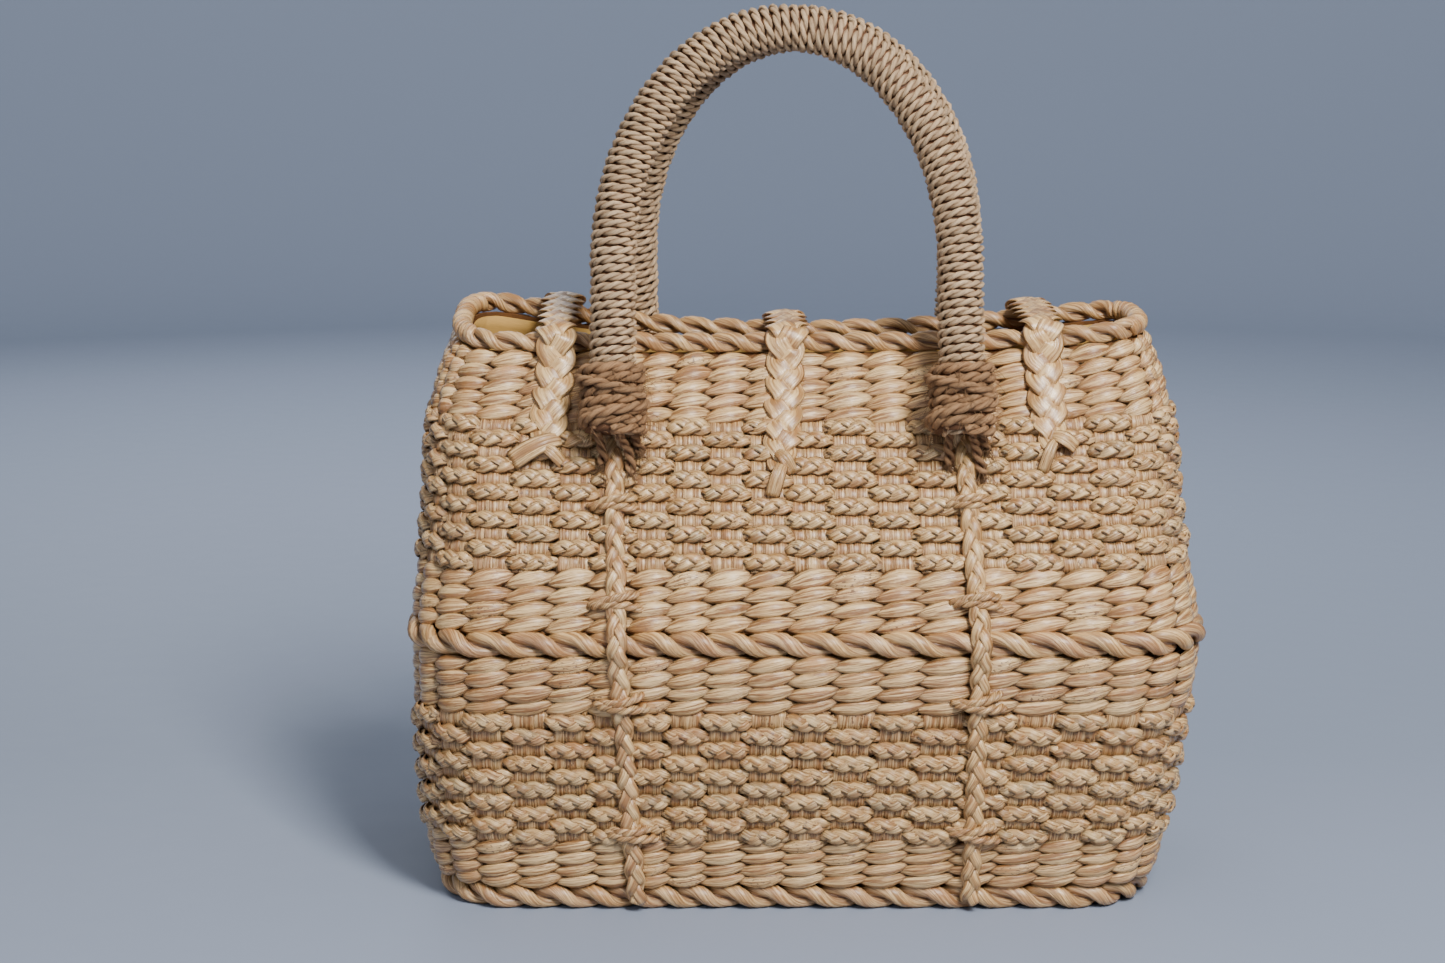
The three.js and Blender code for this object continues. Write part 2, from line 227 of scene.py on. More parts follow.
def even_path(points, step, soften=0):
    """A path of points [N, 3] taken again at even steps along its length, with its kinks softened by
    a running mean over soften steps to each side that keeps the ends."""
    points = np.asarray(points, float)
    run = run_along(points)
    places = np.linspace(0, run[-1], max(4, int(round(run[-1] / step)) + 1))
    path = np.stack([np.interp(places, run, points[:, i]) for i in range(3)], -1)
    if soften:
        padded = np.concatenate(
            [
                2 * path[:1] - path[soften:0:-1],
                path,
                2 * path[-1:] - path[-2 : -soften - 2 : -1],
            ]
        )
        window = np.hanning(2 * soften + 3)[1:-1]
        window /= window.sum()
        path = np.stack([np.convolve(padded[:, i], window, "valid") for i in range(3)], -1)
    return path


def wobble(rng, shape, reach, smooth=1):
    """Smooth random numbers along the last axis, spread by reach and kept within twice that."""
    raw = rng.normal(0, 1, shape)
    for _ in range(smooth):
        raw = (np.roll(raw, 1, -1) + raw + np.roll(raw, -1, -1)) / 3
    return np.clip(raw / raw.std(), -2, 2) * reach


# ---- The woven body's face


def section_at(height):
    """Half length, half depth, corner radius, sway and mouth share at each height: a cubic through
    the rows of the tables, with each row's slope taken from its two neighbours."""
    b = body()
    tables = [(BOX_SECTIONS, 0, b.waist_height), (ROOF_SECTIONS, b.waist_height, b.roof_height)]
    z = np.concatenate([foot + np.array(t)[:, 0] * rise for t, foot, rise in tables])
    sizes = [b.length / 2, b.depth / 2, b.corner_radius, b.foot_sway, 1]
    rows = np.vstack([np.array(t)[:, 1:] for t, _, _ in tables]) * sizes
    slopes = np.gradient(rows, z, axis=0)
    h = np.clip(np.asarray(height, float), z[0], z[-1])
    i = np.clip(np.searchsorted(z, h, side="right") - 1, 0, len(z) - 2)
    gap = (z[i + 1] - z[i])[..., None]
    t = (h - z[i])[..., None] / gap
    found = (
        (2 * t**3 - 3 * t**2 + 1) * rows[i]
        + (t**3 - 2 * t**2 + t) * gap * slopes[i]
        + (3 * t**2 - 2 * t**3) * rows[i + 1]
        + (t**3 - t**2) * gap * slopes[i + 1]
    )
    return np.moveaxis(found, -1, 0)


def mouth_shift(x, half_length, share):
    """How far the mouth's pinch moves a long side in, fading from the middle to the ends."""
    reach = np.minimum(1, np.abs(x) / half_length)
    return body().mouth_pinch * share * np.cos(math.pi / 2 * reach) ** 2


def mouth_raise(x, y, half_length, half_depth, share):
    """How far the mouth's edge stands up towards its ends and its back, and how far it gapes at the
    left end, where the front edge sags and the back one stands up."""
    b = body()
    end = np.clip(-x / half_length, 0, 1) ** 2
    return share * (
        b.mouth_end_rise * (x / half_length) ** 2
        + b.mouth_back_rise * y / (2 * half_depth)
        + b.mouth_gape * end * share * y / half_depth
    )


def wall_point(column, height):
    """The point of the woven face at a column and a height. In each quarter the columns share out
    the length of the rounded rectangle: the front's up to the corner's middle, and the side's from
    there. The mouth's pinch and rise are added."""
    column, height = np.broadcast_arrays(np.asarray(column, float), np.asarray(height, float))
    a, b, r, sway, share = section_at(height)
    half, quarter = ALL_COLUMNS / 2, ALL_COLUMNS / 4
    turned = np.mod(column + half, ALL_COLUMNS) - half
    place = np.abs(turned)
    behind = place > quarter
    place = np.where(behind, half - place, place)
    front_run = a - r + r * math.pi / 4
    side_run = b - r + r * math.pi / 4
    front_count, side_count = FRONT_COLUMNS / 2, SIDE_COLUMNS / 2
    run = np.where(
        place < front_count,
        place / front_count * front_run,
        front_run + (place - front_count) / side_count * side_run,
    )
    bend = np.clip((run - (a - r)) / r, 0, math.pi / 2)
    x = np.minimum(run, a - r) + r * np.sin(bend)
    y = b - r - np.maximum(run - (a - r) - r * math.pi / 2, 0) + r * np.cos(bend)
    y = y * (1 - mouth_shift(x, a, share) / b)
    x = x * np.where(turned < 0, -1, 1)
    y = y * np.where(behind, 1, -1)
    return np.stack([x + sway, y, height + mouth_raise(x, y, a, b, share)], -1)


def wall_frame(column, height):
    """The face's point, its direction along the row, its direction up and its outward normal, by
    small steps to each side."""
    column, height = np.broadcast_arrays(np.asarray(column, float), np.asarray(height, float))
    along = unit(wall_point(column + 0.05, height) - wall_point(column - 0.05, height))
    up = unit(wall_point(column, height + MM) - wall_point(column, height - MM))
    out = unit(np.cross(along, up))
    return wall_point(column, height), along, np.cross(out, along), out


def face_point(x, height, side, distance=0.0):
    """A point of the front (side -1) or back (side 1) at x and a height, moved square to the wall."""
    x, height = np.broadcast_arrays(np.asarray(x, float), np.asarray(height, float))

    def at(x, height):
        a, b, _, sway, share = section_at(height)
        own = x - sway
        y = side * (b - mouth_shift(own, a, share))
        return np.stack([x, y, height + mouth_raise(own, y, a, b, share)], -1)

    step = np.full_like(x, MM)
    along = at(x + step, height) - at(x - step, height)
    up = at(x, height + step) - at(x, height - step)
    out = unit(np.cross(along, up)) * -side
    return at(x, height) + out * np.asarray(distance)[..., None]


def column_places(rng):
    """The columns' edges, counted from the middle of the front. The front has its own widths, and
    the other columns differ a little at random."""
    front = np.array(FRONT_WIDTHS, float)
    front *= FRONT_COLUMNS / front.sum()
    rest = 1 + 0.07 * rng.uniform(-1, 1, ALL_COLUMNS - FRONT_COLUMNS)
    rest *= (ALL_COLUMNS - FRONT_COLUMNS) / rest.sum()
    widths = np.concatenate([front, rest])
    return np.concatenate([[0], np.cumsum(widths)]) - FRONT_COLUMNS / 2


PLACES = column_places(np.random.default_rng(11))


def placed(column):
    """A column's own place: whole numbers are column edges from the front's left corner, and the
    result is counted in even columns from the middle of the front."""
    whole = np.floor(np.asarray(column, float) / ALL_COLUMNS)
    return np.interp(column - whole * ALL_COLUMNS, np.arange(ALL_COLUMNS + 1), PLACES) + (
        whole * ALL_COLUMNS
    )


def laid_rows(rows, low, high):
    """Middle height and thickness up the wall of each row. The rows share out the run up the middle
    of the front between two heights in proportion to their own thicknesses."""
    heights = np.linspace(low, high, 400)
    run = run_along(wall_point(0, heights))
    thick = np.array([t for _, t in rows], float)
    edges = np.concatenate([[0], np.cumsum(thick)]) / thick.sum() * run[-1]
    middles = np.interp((edges[1:] + edges[:-1]) / 2, run, heights)
    return [
        {"kind": rows[i][0], "z": middles[i], "thick": edges[i + 1] - edges[i], "index": i}
        for i in range(len(rows))
    ]


def box_rows():
    b = body()
    return laid_rows(BOX_ROWS, 2 * b.lower_rope, b.waist_height - b.lower_rope)


def roof_rows():
    b = body()
    return laid_rows(ROOF_ROWS, b.waist_height + b.lower_rope, b.waist_height + b.roof_height)


# ---- Strands into meshes


class Strands:
    """Tubes gathered into one mesh, with what their finish needs: how far along and round a strand a
    point is, the strand's tint and seed, and how much painted shade the point gets."""

    def __init__(self):
        self.points, self.faces, self.uv = [], [], []
        self.tint, self.seed, self.painted_shade = [], [], []
        self.count = 0

    def add(self, paths, normals, half_width, half_height, section, tint, seed, painted_shade, closed=False):
        """Carries a section along each path [S, N, 3]: point = path + across * half width * u +
        normal * half height * v, where across is normal x direction. Open ends close to a pole."""
        paths = np.asarray(paths, float)
        if paths.ndim == 2:
            paths, normals = paths[None], np.asarray(normals)[None]
        count, steps = paths.shape[:2]
        sides = len(section)
        u, v = np.array(section, float).T
        wide = np.broadcast_to(half_width, (count, steps))[..., None, None]
        high = np.broadcast_to(half_height, (count, steps))[..., None, None]
        along = tangents(paths, closed)
        normals = square_to(np.broadcast_to(normals, paths.shape), along)
        across = np.cross(normals, along)
        rings = (
            paths[:, :, None]
            + across[:, :, None] * wide * u[:, None]
            + normals[:, :, None] * high * v[:, None]
        )
        run = run_along(paths)
        if closed:
            end = np.linalg.norm(paths[:, 0] - paths[:, -1], axis=-1)
            run = np.concatenate([run, run[:, -1:] + end[:, None]], -1)
        joins = steps if closed else steps - 1
        i, k = np.meshgrid(np.arange(joins), np.arange(sides), indexing="ij")
        after, beside = (i + 1) % steps, (k + 1) % sides
        quads = np.stack(
            [i * sides + k, i * sides + beside, after * sides + beside, after * sides + k], -1
        ).reshape(-1, 4)
        per_strand = steps * sides + (0 if closed else 2)
        starts = self.count + per_strand * np.arange(count)
        self.faces.append((quads[None] + starts[:, None, None]).reshape(-1, 4))
        share = np.stack([k, k + 1, k + 1, k], -1).reshape(-1, 4) / sides
        ahead = np.stack([i, i, i + 1, i + 1], -1).reshape(-1, 4)
        self.uv.append(
            np.stack([run[:, ahead], np.broadcast_to(share, (count, *share.shape))], -1).reshape(
                -1, 2
            )
        )
        points = rings.reshape(count, steps * sides, 3)
        if not closed:
            points = np.concatenate([points, paths[:, :1], paths[:, -1:]], 1)
            ring = np.arange(sides)
            last = (steps - 1) * sides
            first_pole, last_pole = steps * sides, steps * sides + 1
            caps = np.concatenate(
                [
                    np.stack([np.full(sides, first_pole), (ring + 1) % sides, ring], -1),
                    np.stack([np.full(sides, last_pole), last + ring, last + (ring + 1) % sides], -1),
                ]
            )
            self.faces.append((caps[None] + starts[:, None, None]).reshape(-1, 3))
            mid = (ring + 0.5) / sides
            shares = np.tile(np.stack([mid, (ring + 1) / sides, ring / sides], -1), (2, 1))
            shares[sides:] = np.stack([mid, ring / sides, (ring + 1) / sides], -1)
            ends = np.repeat(np.stack([run[:, 0], run[:, -1]], -1), sides, axis=1)
            self.uv.append(
                np.stack(
                    [
                        np.repeat(ends[:, :, None], 3, axis=2),
                        np.broadcast_to(shares, (count, 2 * sides, 3)),
                    ],
                    -1,
                ).reshape(-1, 2)
            )
        self.points.append(points.reshape(-1, 3))
        each = (count, steps, sides)
        # Painted shade: darker towards a section's sides and on its underside, added to the shade that
        # the caller gives where a strand goes down.
        edge = np.abs(u) ** 3 * 0.42 + np.clip(-v, 0, 1) * 0.6
        depth = np.broadcast_to(painted_shade, (count, steps))[..., None] + edge
        for name, values in (("tint", tint), ("seed", seed), ("painted_shade", None)):
            if name == "painted_shade":
                full = depth
            else:
                full = np.broadcast_to(np.asarray(values, float).reshape(-1, 1, 1), each)
            full = full.reshape(count, -1)
            if not closed:
                full = np.concatenate([full, full[:, :1], full[:, -1:]], 1)
            getattr(self, name).append(full.ravel())
        self.count += count * per_strand

    def piece(self, name, finish, slot, replaced=()):
        """Makes the mesh object, which rides on the bag and stands for the replaced nodes."""
        mesh = bpy.data.meshes.new(name)
        points = np.concatenate(self.points)
        corners = np.concatenate([f.ravel() for f in self.faces])
        totals = np.concatenate([np.full(len(f), f.shape[1]) for f in self.faces])
        mesh.vertices.add(len(points))
        mesh.vertices.foreach_set("co", points.astype(np.float32).ravel())
        mesh.loops.add(len(corners))
        mesh.loops.foreach_set("vertex_index", corners.astype(np.int32))
        mesh.polygons.add(len(totals))
        mesh.polygons.foreach_set("loop_start", (np.cumsum(totals) - totals).astype(np.int32))
        mesh.polygons.foreach_set("use_smooth", np.ones(len(totals), bool))
        layer = mesh.uv_layers.new(name="strand")
        layer.data.foreach_set("uv", np.concatenate(self.uv).astype(np.float32).ravel())
        for key in ("tint", "seed", "painted_shade"):
            values = np.concatenate(getattr(self, key)).astype(np.float32)
            mesh.attributes.new(key, "FLOAT", "POINT").data.foreach_set("value", values)
        mesh.update(calc_edges=True)
        mesh.validate()
        return finished(bpy.data.objects.new(name, mesh), finish, replaced)


def finished(piece, finish, replaced=()):
    """Links a piece, gives it its finish, and says what it rides on and stands for."""
    if piece.name not in bpy.context.scene.collection.objects:
        bpy.context.scene.collection.objects.link(piece)
    piece.data.materials.clear()
    piece.data.materials.append(finish)
    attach(piece, "root")
    if replaced:
        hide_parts(*replaced)
    return piece


def braid(path, across, out, reach, lift, period, phase, taper=1.0, lean=0.6):
    """Paths and normals of the three strands of a flat braid, [3, ..., N, 3]. Strand k swings across
    by reach * (sin(p) - sin(3p) / 10) and out by lift * tanh(1.6 sin(2p)), with p = phase + turns of
    run / period + k / 3, so on the face each strand runs outwards and lies clear of the others. Its
    normal leans to the edge that it turns round."""
    run = run_along(path)
    strands, normals = [], []
    for k in range(3):
        turn = phase + TURN * (run / period + k / 3)
        swing = (np.sin(turn) - 0.1 * np.sin(3 * turn)) * taper
        sideways = (reach * swing)[..., None] * across
        raised = lift * np.tanh(1.6 * np.sin(2 * turn))
        strands.append(path + sideways + raised[..., None] * out)
        normals.append(out + across * (lean * np.sin(turn) ** 3)[..., None])
    return np.stack(strands), np.stack(normals)


def twist(path, first, second, turn, plies, spread):
    """Paths and normals of the plies twisted round a path: ply k lies at spread from the path's
    middle, turned from the first direction towards the second by turn + k / plies of a round."""
    strands, normals = [], []
    for k in range(plies):
        angle = (turn + TURN * k / plies)[..., None]
        aside = np.cos(angle) * first + np.sin(angle) * second
        strands.append(path + spread * aside)
        normals.append(aside)
    return np.stack(strands), np.stack(normals)


# ---- Finishes


class Number:
    """A number's socket. Sums written with it add Math nodes."""

    def __init__(self, finish, socket):
        self.finish, self.socket = finish, socket

    def sum(self, operation, *others, swap=False):
        values = [self, *others]
        if swap:
            values.reverse()
        inputs = {i: v for i, v in enumerate(values)}
        return self.finish.node("ShaderNodeMath", {"operation": operation}, inputs)[0]

    def __add__(self, other):
        return self.sum("ADD", other)

    def __sub__(self, other):
        return self.sum("SUBTRACT", other)

    def __rsub__(self, other):
        return self.sum("SUBTRACT", other, swap=True)

    def __mul__(self, other):
        return self.sum("MULTIPLY", other)

    def __truediv__(self, other):
        return self.sum("DIVIDE", other)

    def __pow__(self, other):
        return self.sum("POWER", other)

    __radd__ = __add__
    __rmul__ = __mul__


class Finish:
    """A node material: one method adds any node, and a few more name what this bag needs."""

    def __init__(self, name):
        self.material = bpy.data.materials.new(name)
        self.material.use_nodes = True
        self.tree = self.material.node_tree
        self.tree.nodes.clear()

    def node(self, kind, settings=None, inputs=None):
        """Adds a node, sets it up, and fills its sockets with numbers, colours or links. Returns its
        enabled outputs."""
        made = self.tree.nodes.new(kind)
        for key, value in (settings or {}).items():
            if key == "stops":
                ramp = made.color_ramp
                while len(ramp.elements) < len(value):
                    ramp.elements.new(0.5)
                for element, (place, colour) in zip(ramp.elements, value):
                    element.position, element.color = place, colour
            else:
                setattr(made, key, value)
        for key, value in (inputs or {}).items():
            socket = made.inputs[key]
            if isinstance(value, Number):
                self.tree.links.new(value.socket, socket)
            else:
                socket.default_value = value
        return [Number(self, s) for s in made.outputs if s.enabled]

    def attribute(self, name):
        made = self.tree.nodes.new("ShaderNodeAttribute")
        made.attribute_name = name
        return Number(self, made.outputs["Fac"])

    def vector(self, x, y, z):
        return self.node("ShaderNodeCombineXYZ", {}, {0: x, 1: y, 2: z})[0]

    def noise(self, vector, scale=1.0, detail=2.0, roughness=0.5):
        inputs = {"Vector": vector, "Scale": scale, "Detail": detail, "Roughness": roughness}
        return self.node("ShaderNodeTexNoise", {}, inputs)[0]

    def blend(self, factor, first, second, kind="MIX"):
        """Colours mixed from the first to the second."""
        settings = {"data_type": "RGBA", "blend_type": kind}
        made = self.tree.nodes.new("ShaderNodeMix")
        made.data_type, made.blend_type = settings["data_type"], settings["blend_type"]
        for key, value in ((0, factor), (6, first), (7, second)):
            if isinstance(value, Number):
                self.tree.links.new(value.socket, made.inputs[key])
            else:
                made.inputs[key].default_value = value
        return Number(self, made.outputs[2])

    def between(self, value, low, high):
        """0 below low, 1 above high, and smooth in between."""
        inputs = {"Value": value, "From Min": low, "From Max": high}
        return self.node("ShaderNodeMapRange", {"interpolation_type": "SMOOTHSTEP"}, inputs)[0]

    def surface(self, colour, roughness, height, relief, specular=0.5, coat=0.0):
        """The shader: colour and roughness may vary, and height is the relief in metres."""
        bump = self.node("ShaderNodeBump", {}, {"Strength": 1.0, "Distance": relief, "Height": height})
        inputs = {"Base Color": colour, "Roughness": roughness, "Normal": bump[0]}
        inputs.update({"Specular IOR Level": specular, "Coat Weight": coat, "Coat Roughness": 0.32})
        shader = self.node("ShaderNodeBsdfPrincipled", {}, inputs)[0]
        self.node("ShaderNodeOutputMaterial", {}, {"Surface": shader})
        return self.material


def full(colour, share=1.0):
    """A colour with its alpha, darkened by a share."""
    return (*[c * share for c in colour], 1.0)


def straw_finish(name, streak=1.0, gloss=0.4, depth=1.0, stain=0.5, cells=13):
    """Dried stems: the strand's tint picks its colour, fine streaks run along it, with brown stains here
    and there, dark specks on a few strands, and painted shade in the gap colour where the strand goes
    down, along its sides and underneath."""
    c = colours()
    f = Finish(name)
    run, round_ = f.strand_place()
    seed, painted_shade = f.attribute("seed"), f.attribute("painted_shade")
    tint = f.attribute("tint")
    stops = [
        (0.0, full(c.pale)),
        (0.35, full(c.straw)),
        (0.58, full(c.pink)),
        (0.8, full(c.amber)),
        (1.0, full(c.green)),
    ]
    base = f.node("ShaderNodeValToRGB", {"stops": stops}, {"Fac": tint})[0]
    offset = seed * 91
    broad = f.noise(f.vector(run * 90, round_ * 3, offset), detail=3)
    fibre = f.noise(f.vector(run * 45, round_ * cells, offset), detail=4, roughness=0.7)
    fine = f.noise(f.vector(run * 90, round_ * cells * 3, offset), detail=2)
    shade = f.between(broad, 0.4, 0.62)
    base = f.blend(shade * 0.45, base, full(c.pale))
    light = f.between(fibre, 0.5, 0.41) * (0.55 * streak)
    base = f.blend(light, base, full(c.pale, 1.25))
    dark = f.between(fibre, 0.49, 0.58) * (0.75 * streak)
    base = f.blend(dark, base, full(c.amber, 0.6))
    thread = f.between(fine, 0.52, 0.6) * (0.5 * streak)
    base = f.blend(thread, base, full(c.amber, 0.65))
    stained = f.between(f.noise(f.vector(run * 60, round_ * 1.5, seed * 53), detail=2), 0.58, 0.7)
    base = f.blend(stained * stain, base, full(c.amber))
    speckled = f.between(seed, 0.86, 0.88)
    speck = f.between(f.noise(f.vector(run * 700, round_ * 16, offset), detail=1), 0.6, 0.65)
    base = f.blend(speckled * speck * 0.8, base, full(c.gap))
    # Painted shade: the gap colour laid on by the painted shade amount, scaled by depth.
    base = f.blend(f.between(painted_shade, 0.15, 1.05) * depth, base, full(c.gap))
    height = fibre * 0.7 + fine * 0.3
    rough = fibre * 0.3 + (gloss - 0.15) + painted_shade * 0.2
    return f.surface(base, rough, height, 1.0 * MM, 0.7, coat=0.5)


def strand_place(self):
    """Metres along a strand and shares of the way round it, from its own map."""
    made = self.tree.nodes.new("ShaderNodeUVMap")
    made.uv_map = "strand"
    split = self.tree.nodes.new("ShaderNodeSeparateXYZ")
    self.tree.links.new(made.outputs[0], split.inputs[0])
    return Number(self, split.outputs[0]), Number(self, split.outputs[1])


Finish.strand_place = strand_place


def twine_finish(name, colour, pale, rough=0.62, depth=1.0):
    """Twisted fibre: fine streaks along each ply, lighter and darker plies, and painted shade between
    them.
    """
    c = colours()
    f = Finish(name)
    run, round_ = f.strand_place()
    seed, painted_shade, tint = f.attribute("seed"), f.attribute("painted_shade"), f.attribute("tint")
    patch = f.noise(f.vector(run * 55, round_ * 1.2, seed * 71), detail=3)
    fibre = f.noise(f.vector(run * 200, round_ * 18, seed * 91), detail=3, roughness=0.65)
    base = f.blend(f.between(patch, 0.4, 0.62), full(colour, 0.9), full(pale))
    base = f.blend(tint * 0.5, base, full(c.pink, 0.85))
    base = f.blend(f.between(fibre, 0.5, 0.65) * 0.5, base, full(colour, 0.42))
    # Painted shade between the plies and on the dark inner tubes.
    base = f.blend(f.between(painted_shade, 0.2, 1.0) * depth, base, full(c.gap))
    return f.surface(base, fibre * 0.25 + (rough - 0.1), fibre, 0.7 * MM, 0.4)


def dark_finish(name):
    """Painted shade: a dark sheet for the inner side of the weave, seen only through the gaps."""
    c = colours()
    f = Finish(name)
    place = f.node("ShaderNodeTexCoord")
    grain = f.noise(place[3], scale=300, detail=3)
    base = f.blend(grain, full(c.gap), full(c.amber, 0.5))
    return f.surface(base, 0.8, grain, 0.3 * MM, 0.3)


def cloth_finish(name):
    """Fine plain-woven cotton: threads along and across the piece's own map, slightly uneven."""
    c = colours()
    f = Finish(name)
    run, round_ = f.strand_place()
    thread = 0.0005
    warp = f.node("ShaderNodeMath", {"operation": "SINE"}, {0: run * (TURN / thread)})[0]
    weft = f.node("ShaderNodeMath", {"operation": "SINE"}, {0: round_ * (TURN / thread)})[0]
    place = f.node("ShaderNodeTexCoord")
    cloud = f.noise(place[3], scale=40, detail=3)
    slub = f.noise(f.vector(run * 300, round_ * 2500, 0.0), detail=2)
    base = f.blend(f.between(cloud, 0.3, 0.7) * 0.5, full(c.cloth), full(c.cloth, 0.72))
    base = f.blend(f.between(slub, 0.4, 0.8) * 0.35, base, full(c.cloth, 1.25))
    height = warp * weft * 0.5 + slub
    return f.surface(base, 0.75, height, 0.12 * MM, 0.3)


FINISHES = {}


def finish(name):
    """The named finish, made once."""
    c = colours()
    makers = {
        # The depth settings scale each finish's painted shade; the dark sheet behind the weave is
        # painted shade throughout.
        "straw": lambda: straw_finish("straw", 1.3, gloss=0.35),
        "warp": lambda: straw_finish("warp", 1.3, gloss=0.46, depth=0.8, stain=0.6, cells=26),
        "border": lambda: straw_finish("border", depth=0.9, cells=15),
        "braid": lambda: straw_finish("braid", 1.0, gloss=0.36, depth=0.85, stain=0.3, cells=10),
        "twine": lambda: twine_finish("twine", c.twine, full(c.twine, 1.3)[:3]),
        "lashing": lambda: twine_finish("lashing", c.lashing, full(c.lashing, 1.5)[:3], 0.75),
        "shade_core": lambda: dark_finish("painted shade behind weave"),
        "cloth": lambda: cloth_finish("lining cloth"),
    }
    if name not in FINISHES:
        FINISHES[name] = makers[name]()
    return FINISHES[name]


# ---- The weave


def twined_rows(rows, rng, strands):
    """A row of leaf-shaped stems, one over each column. Each rises to the right, bulges over its
    warp and goes down between the columns at both ends."""
    t = np.sin(np.linspace(-1, 1, 11) * math.pi / 2)
    for row in rows:
        number = np.arange(ALL_COLUMNS)
        count = len(number)
        middle = placed(number + 0.5)[:, None]
        width = (placed(number + 1.0) - placed(number))[:, None]
        thick = row["thick"]
        size = rng.uniform(0.93, 1.12, (count, 1))
        point, along, up, out = wall_frame(middle + t * width * 0.7, row["z"])
        slant = rng.uniform(0.24, 0.4, (count, 1))
        rise = thick * (slant * t + rng.normal(0, 0.025, (count, 1)))
        bulge = 3.3 * MM * (1 - np.abs(t) ** 1.8) - 3.1 * MM + rng.normal(0, 0.2 * MM, (count, 1))
        path = point + up * rise[..., None] + out * bulge[..., None]
        wide = 0.62 * thick * size * np.maximum(1 - np.abs(t) ** 1.8, 0.0) ** 0.85 + 0.1 * MM
        high = 1.45 * MM * np.maximum(1 - np.abs(t) ** 2.2, 0.0) ** 0.6 + 0.2 * MM
        # Painted shade towards both ends, where the stem goes down between the columns.
        painted_shade = np.clip((np.abs(t) - 0.5) / 0.4, 0, 1) ** 1.4
        tint = np.clip(rng.normal(0.31, 0.25, count), 0, 0.84)
        strands.add(path, out, wide, high, LENS, tint, rng.uniform(0, 1, count), painted_shade)


def braided_rows(rows, parity, greens, rng, strands):
    """A braid that shows over every second column and goes behind the others. The columns swap from
    row to row. Each bead of braid is three strands that narrow and go down at both ends. The rows
    counted in greens have many strands that dried green."""
    t = np.linspace(-1, 1, 13)
    for row in rows:
        number = np.arange((row["index"] + parity) % 2, ALL_COLUMNS, 2)
        count = len(number)
        middle = placed(number + 0.5)[:, None]
        width = (placed(number + 1.0) - placed(number))[:, None]
        thick = row["thick"]
        point, along, up, out = wall_frame(middle + t * width * 0.69, row["z"])
        bulge = 1.9 * MM * (1 - np.abs(t) ** 2.6) - 3.0 * MM * np.abs(t) ** 5
        path = point + out * bulge[..., None]
        size = rng.uniform(0.93, 1.08, (count, 1)) * (0.6 + 0.4 * thick / (5.2 * MM))
        reach = 1.75 * MM * size
        narrow = 1 - 0.6 * np.abs(t) ** 3.2
        period = -rng.uniform(18, 21, (count, 1)) * MM
        phase = rng.uniform(0, TURN, (count, 1))
        paths, normals = braid(path, up, out, reach, 1.15 * MM, period, phase, narrow)
        wide = np.broadcast_to(2.1 * MM * size * (1 - 0.5 * np.abs(t) ** 4), (count, len(t)))
        high = np.broadcast_to(0.6 * MM * (1 - 0.3 * np.abs(t) ** 4), (count, len(t)))
        # Painted shade at both ends of each bead, where it goes behind the warps.
        painted_shade = np.clip((np.abs(t) - 0.7) / 0.3, 0, 1) * 0.9
        green = row["index"] in greens
        row_tint = rng.normal(0.3, 0.12, (3, 1))
        tint = np.clip(row_tint + rng.normal(0, 0.13, (3, count)), 0, 0.75)
        odd = rng.random((3, count)) < (0.6 if green else 0.05)
        tint = np.where(odd, rng.uniform(0.88, 1, (3, count)), tint)
        flat = (3 * count, len(t), 3)
        strands.add(
            paths.reshape(flat),
            normals.reshape(flat),
            np.tile(wide, (3, 1)),
            np.tile(high, (3, 1)),
            FLAT_STEM,
            tint.ravel(),
            rng.uniform(0, 1, 3 * count),
            np.tile(np.broadcast_to(painted_shade, (count, len(t))), (3, 1)),
        )


def warps(rows, parity, rng, strands):
    """Upright bundles of flat fibre, three strips to a column. Each comes over the rows whose braid
    is behind it and goes down behind the others."""
    braided = [r for r in rows if r["kind"] == "braided"]
    places = np.arange(-2, 3 * len(braided)) / 3
    index = np.arange(len(braided))
    z = np.array([r["z"] for r in braided])
    steps = np.gradient(z)
    heights = np.interp(places, index, z)
    heights = np.where(places < 0, z[0] + places * steps[0], heights)
    last = len(braided) - 1
    heights = np.where(places > last, z[-1] + (places - last) * steps[-1], heights)
    first = braided[0]["index"]
    for j in range(ALL_COLUMNS):
        behind = (first + parity + j) % 2 == 0
        wave = np.cos(math.pi * places) * (-1 if behind else 1)
        bulge = -0.9 * MM + 0.95 * MM * np.sign(wave) * np.abs(wave) ** 0.6
        low, high = placed(j), placed(j + 1.0)
        shares = np.array([0.24, 0.5, 0.76]) + rng.normal(0, 0.012, 3)
        columns = (low + (high - low) * shares)[:, None] + wobble(rng, (3, len(places)), 0.004)
        point, along, up, out = wall_frame(columns, heights)
        crown = bulge - np.array([0.25, 0, 0.25])[:, None] * MM + rng.normal(0, 0.1 * MM, (3, 1))
        path = point + out * crown[..., None]
        half = np.linalg.norm(
            wall_point(high, heights[0]) - wall_point(low, heights[0])
        ) * rng.uniform(0.19, 0.22, (3, 1))
        # Painted shade where a strip goes down behind the braid.
        painted_shade = np.clip(0.3 - wave, 0, 1) * 0.7 - 0.3
        tint = np.clip(rng.normal(0.52, 0.1, 3), 0, 0.78)
        strands.add(path, out, half, 0.75 * MM, RIBBON, tint, rng.uniform(0, 1, 3), painted_shade)


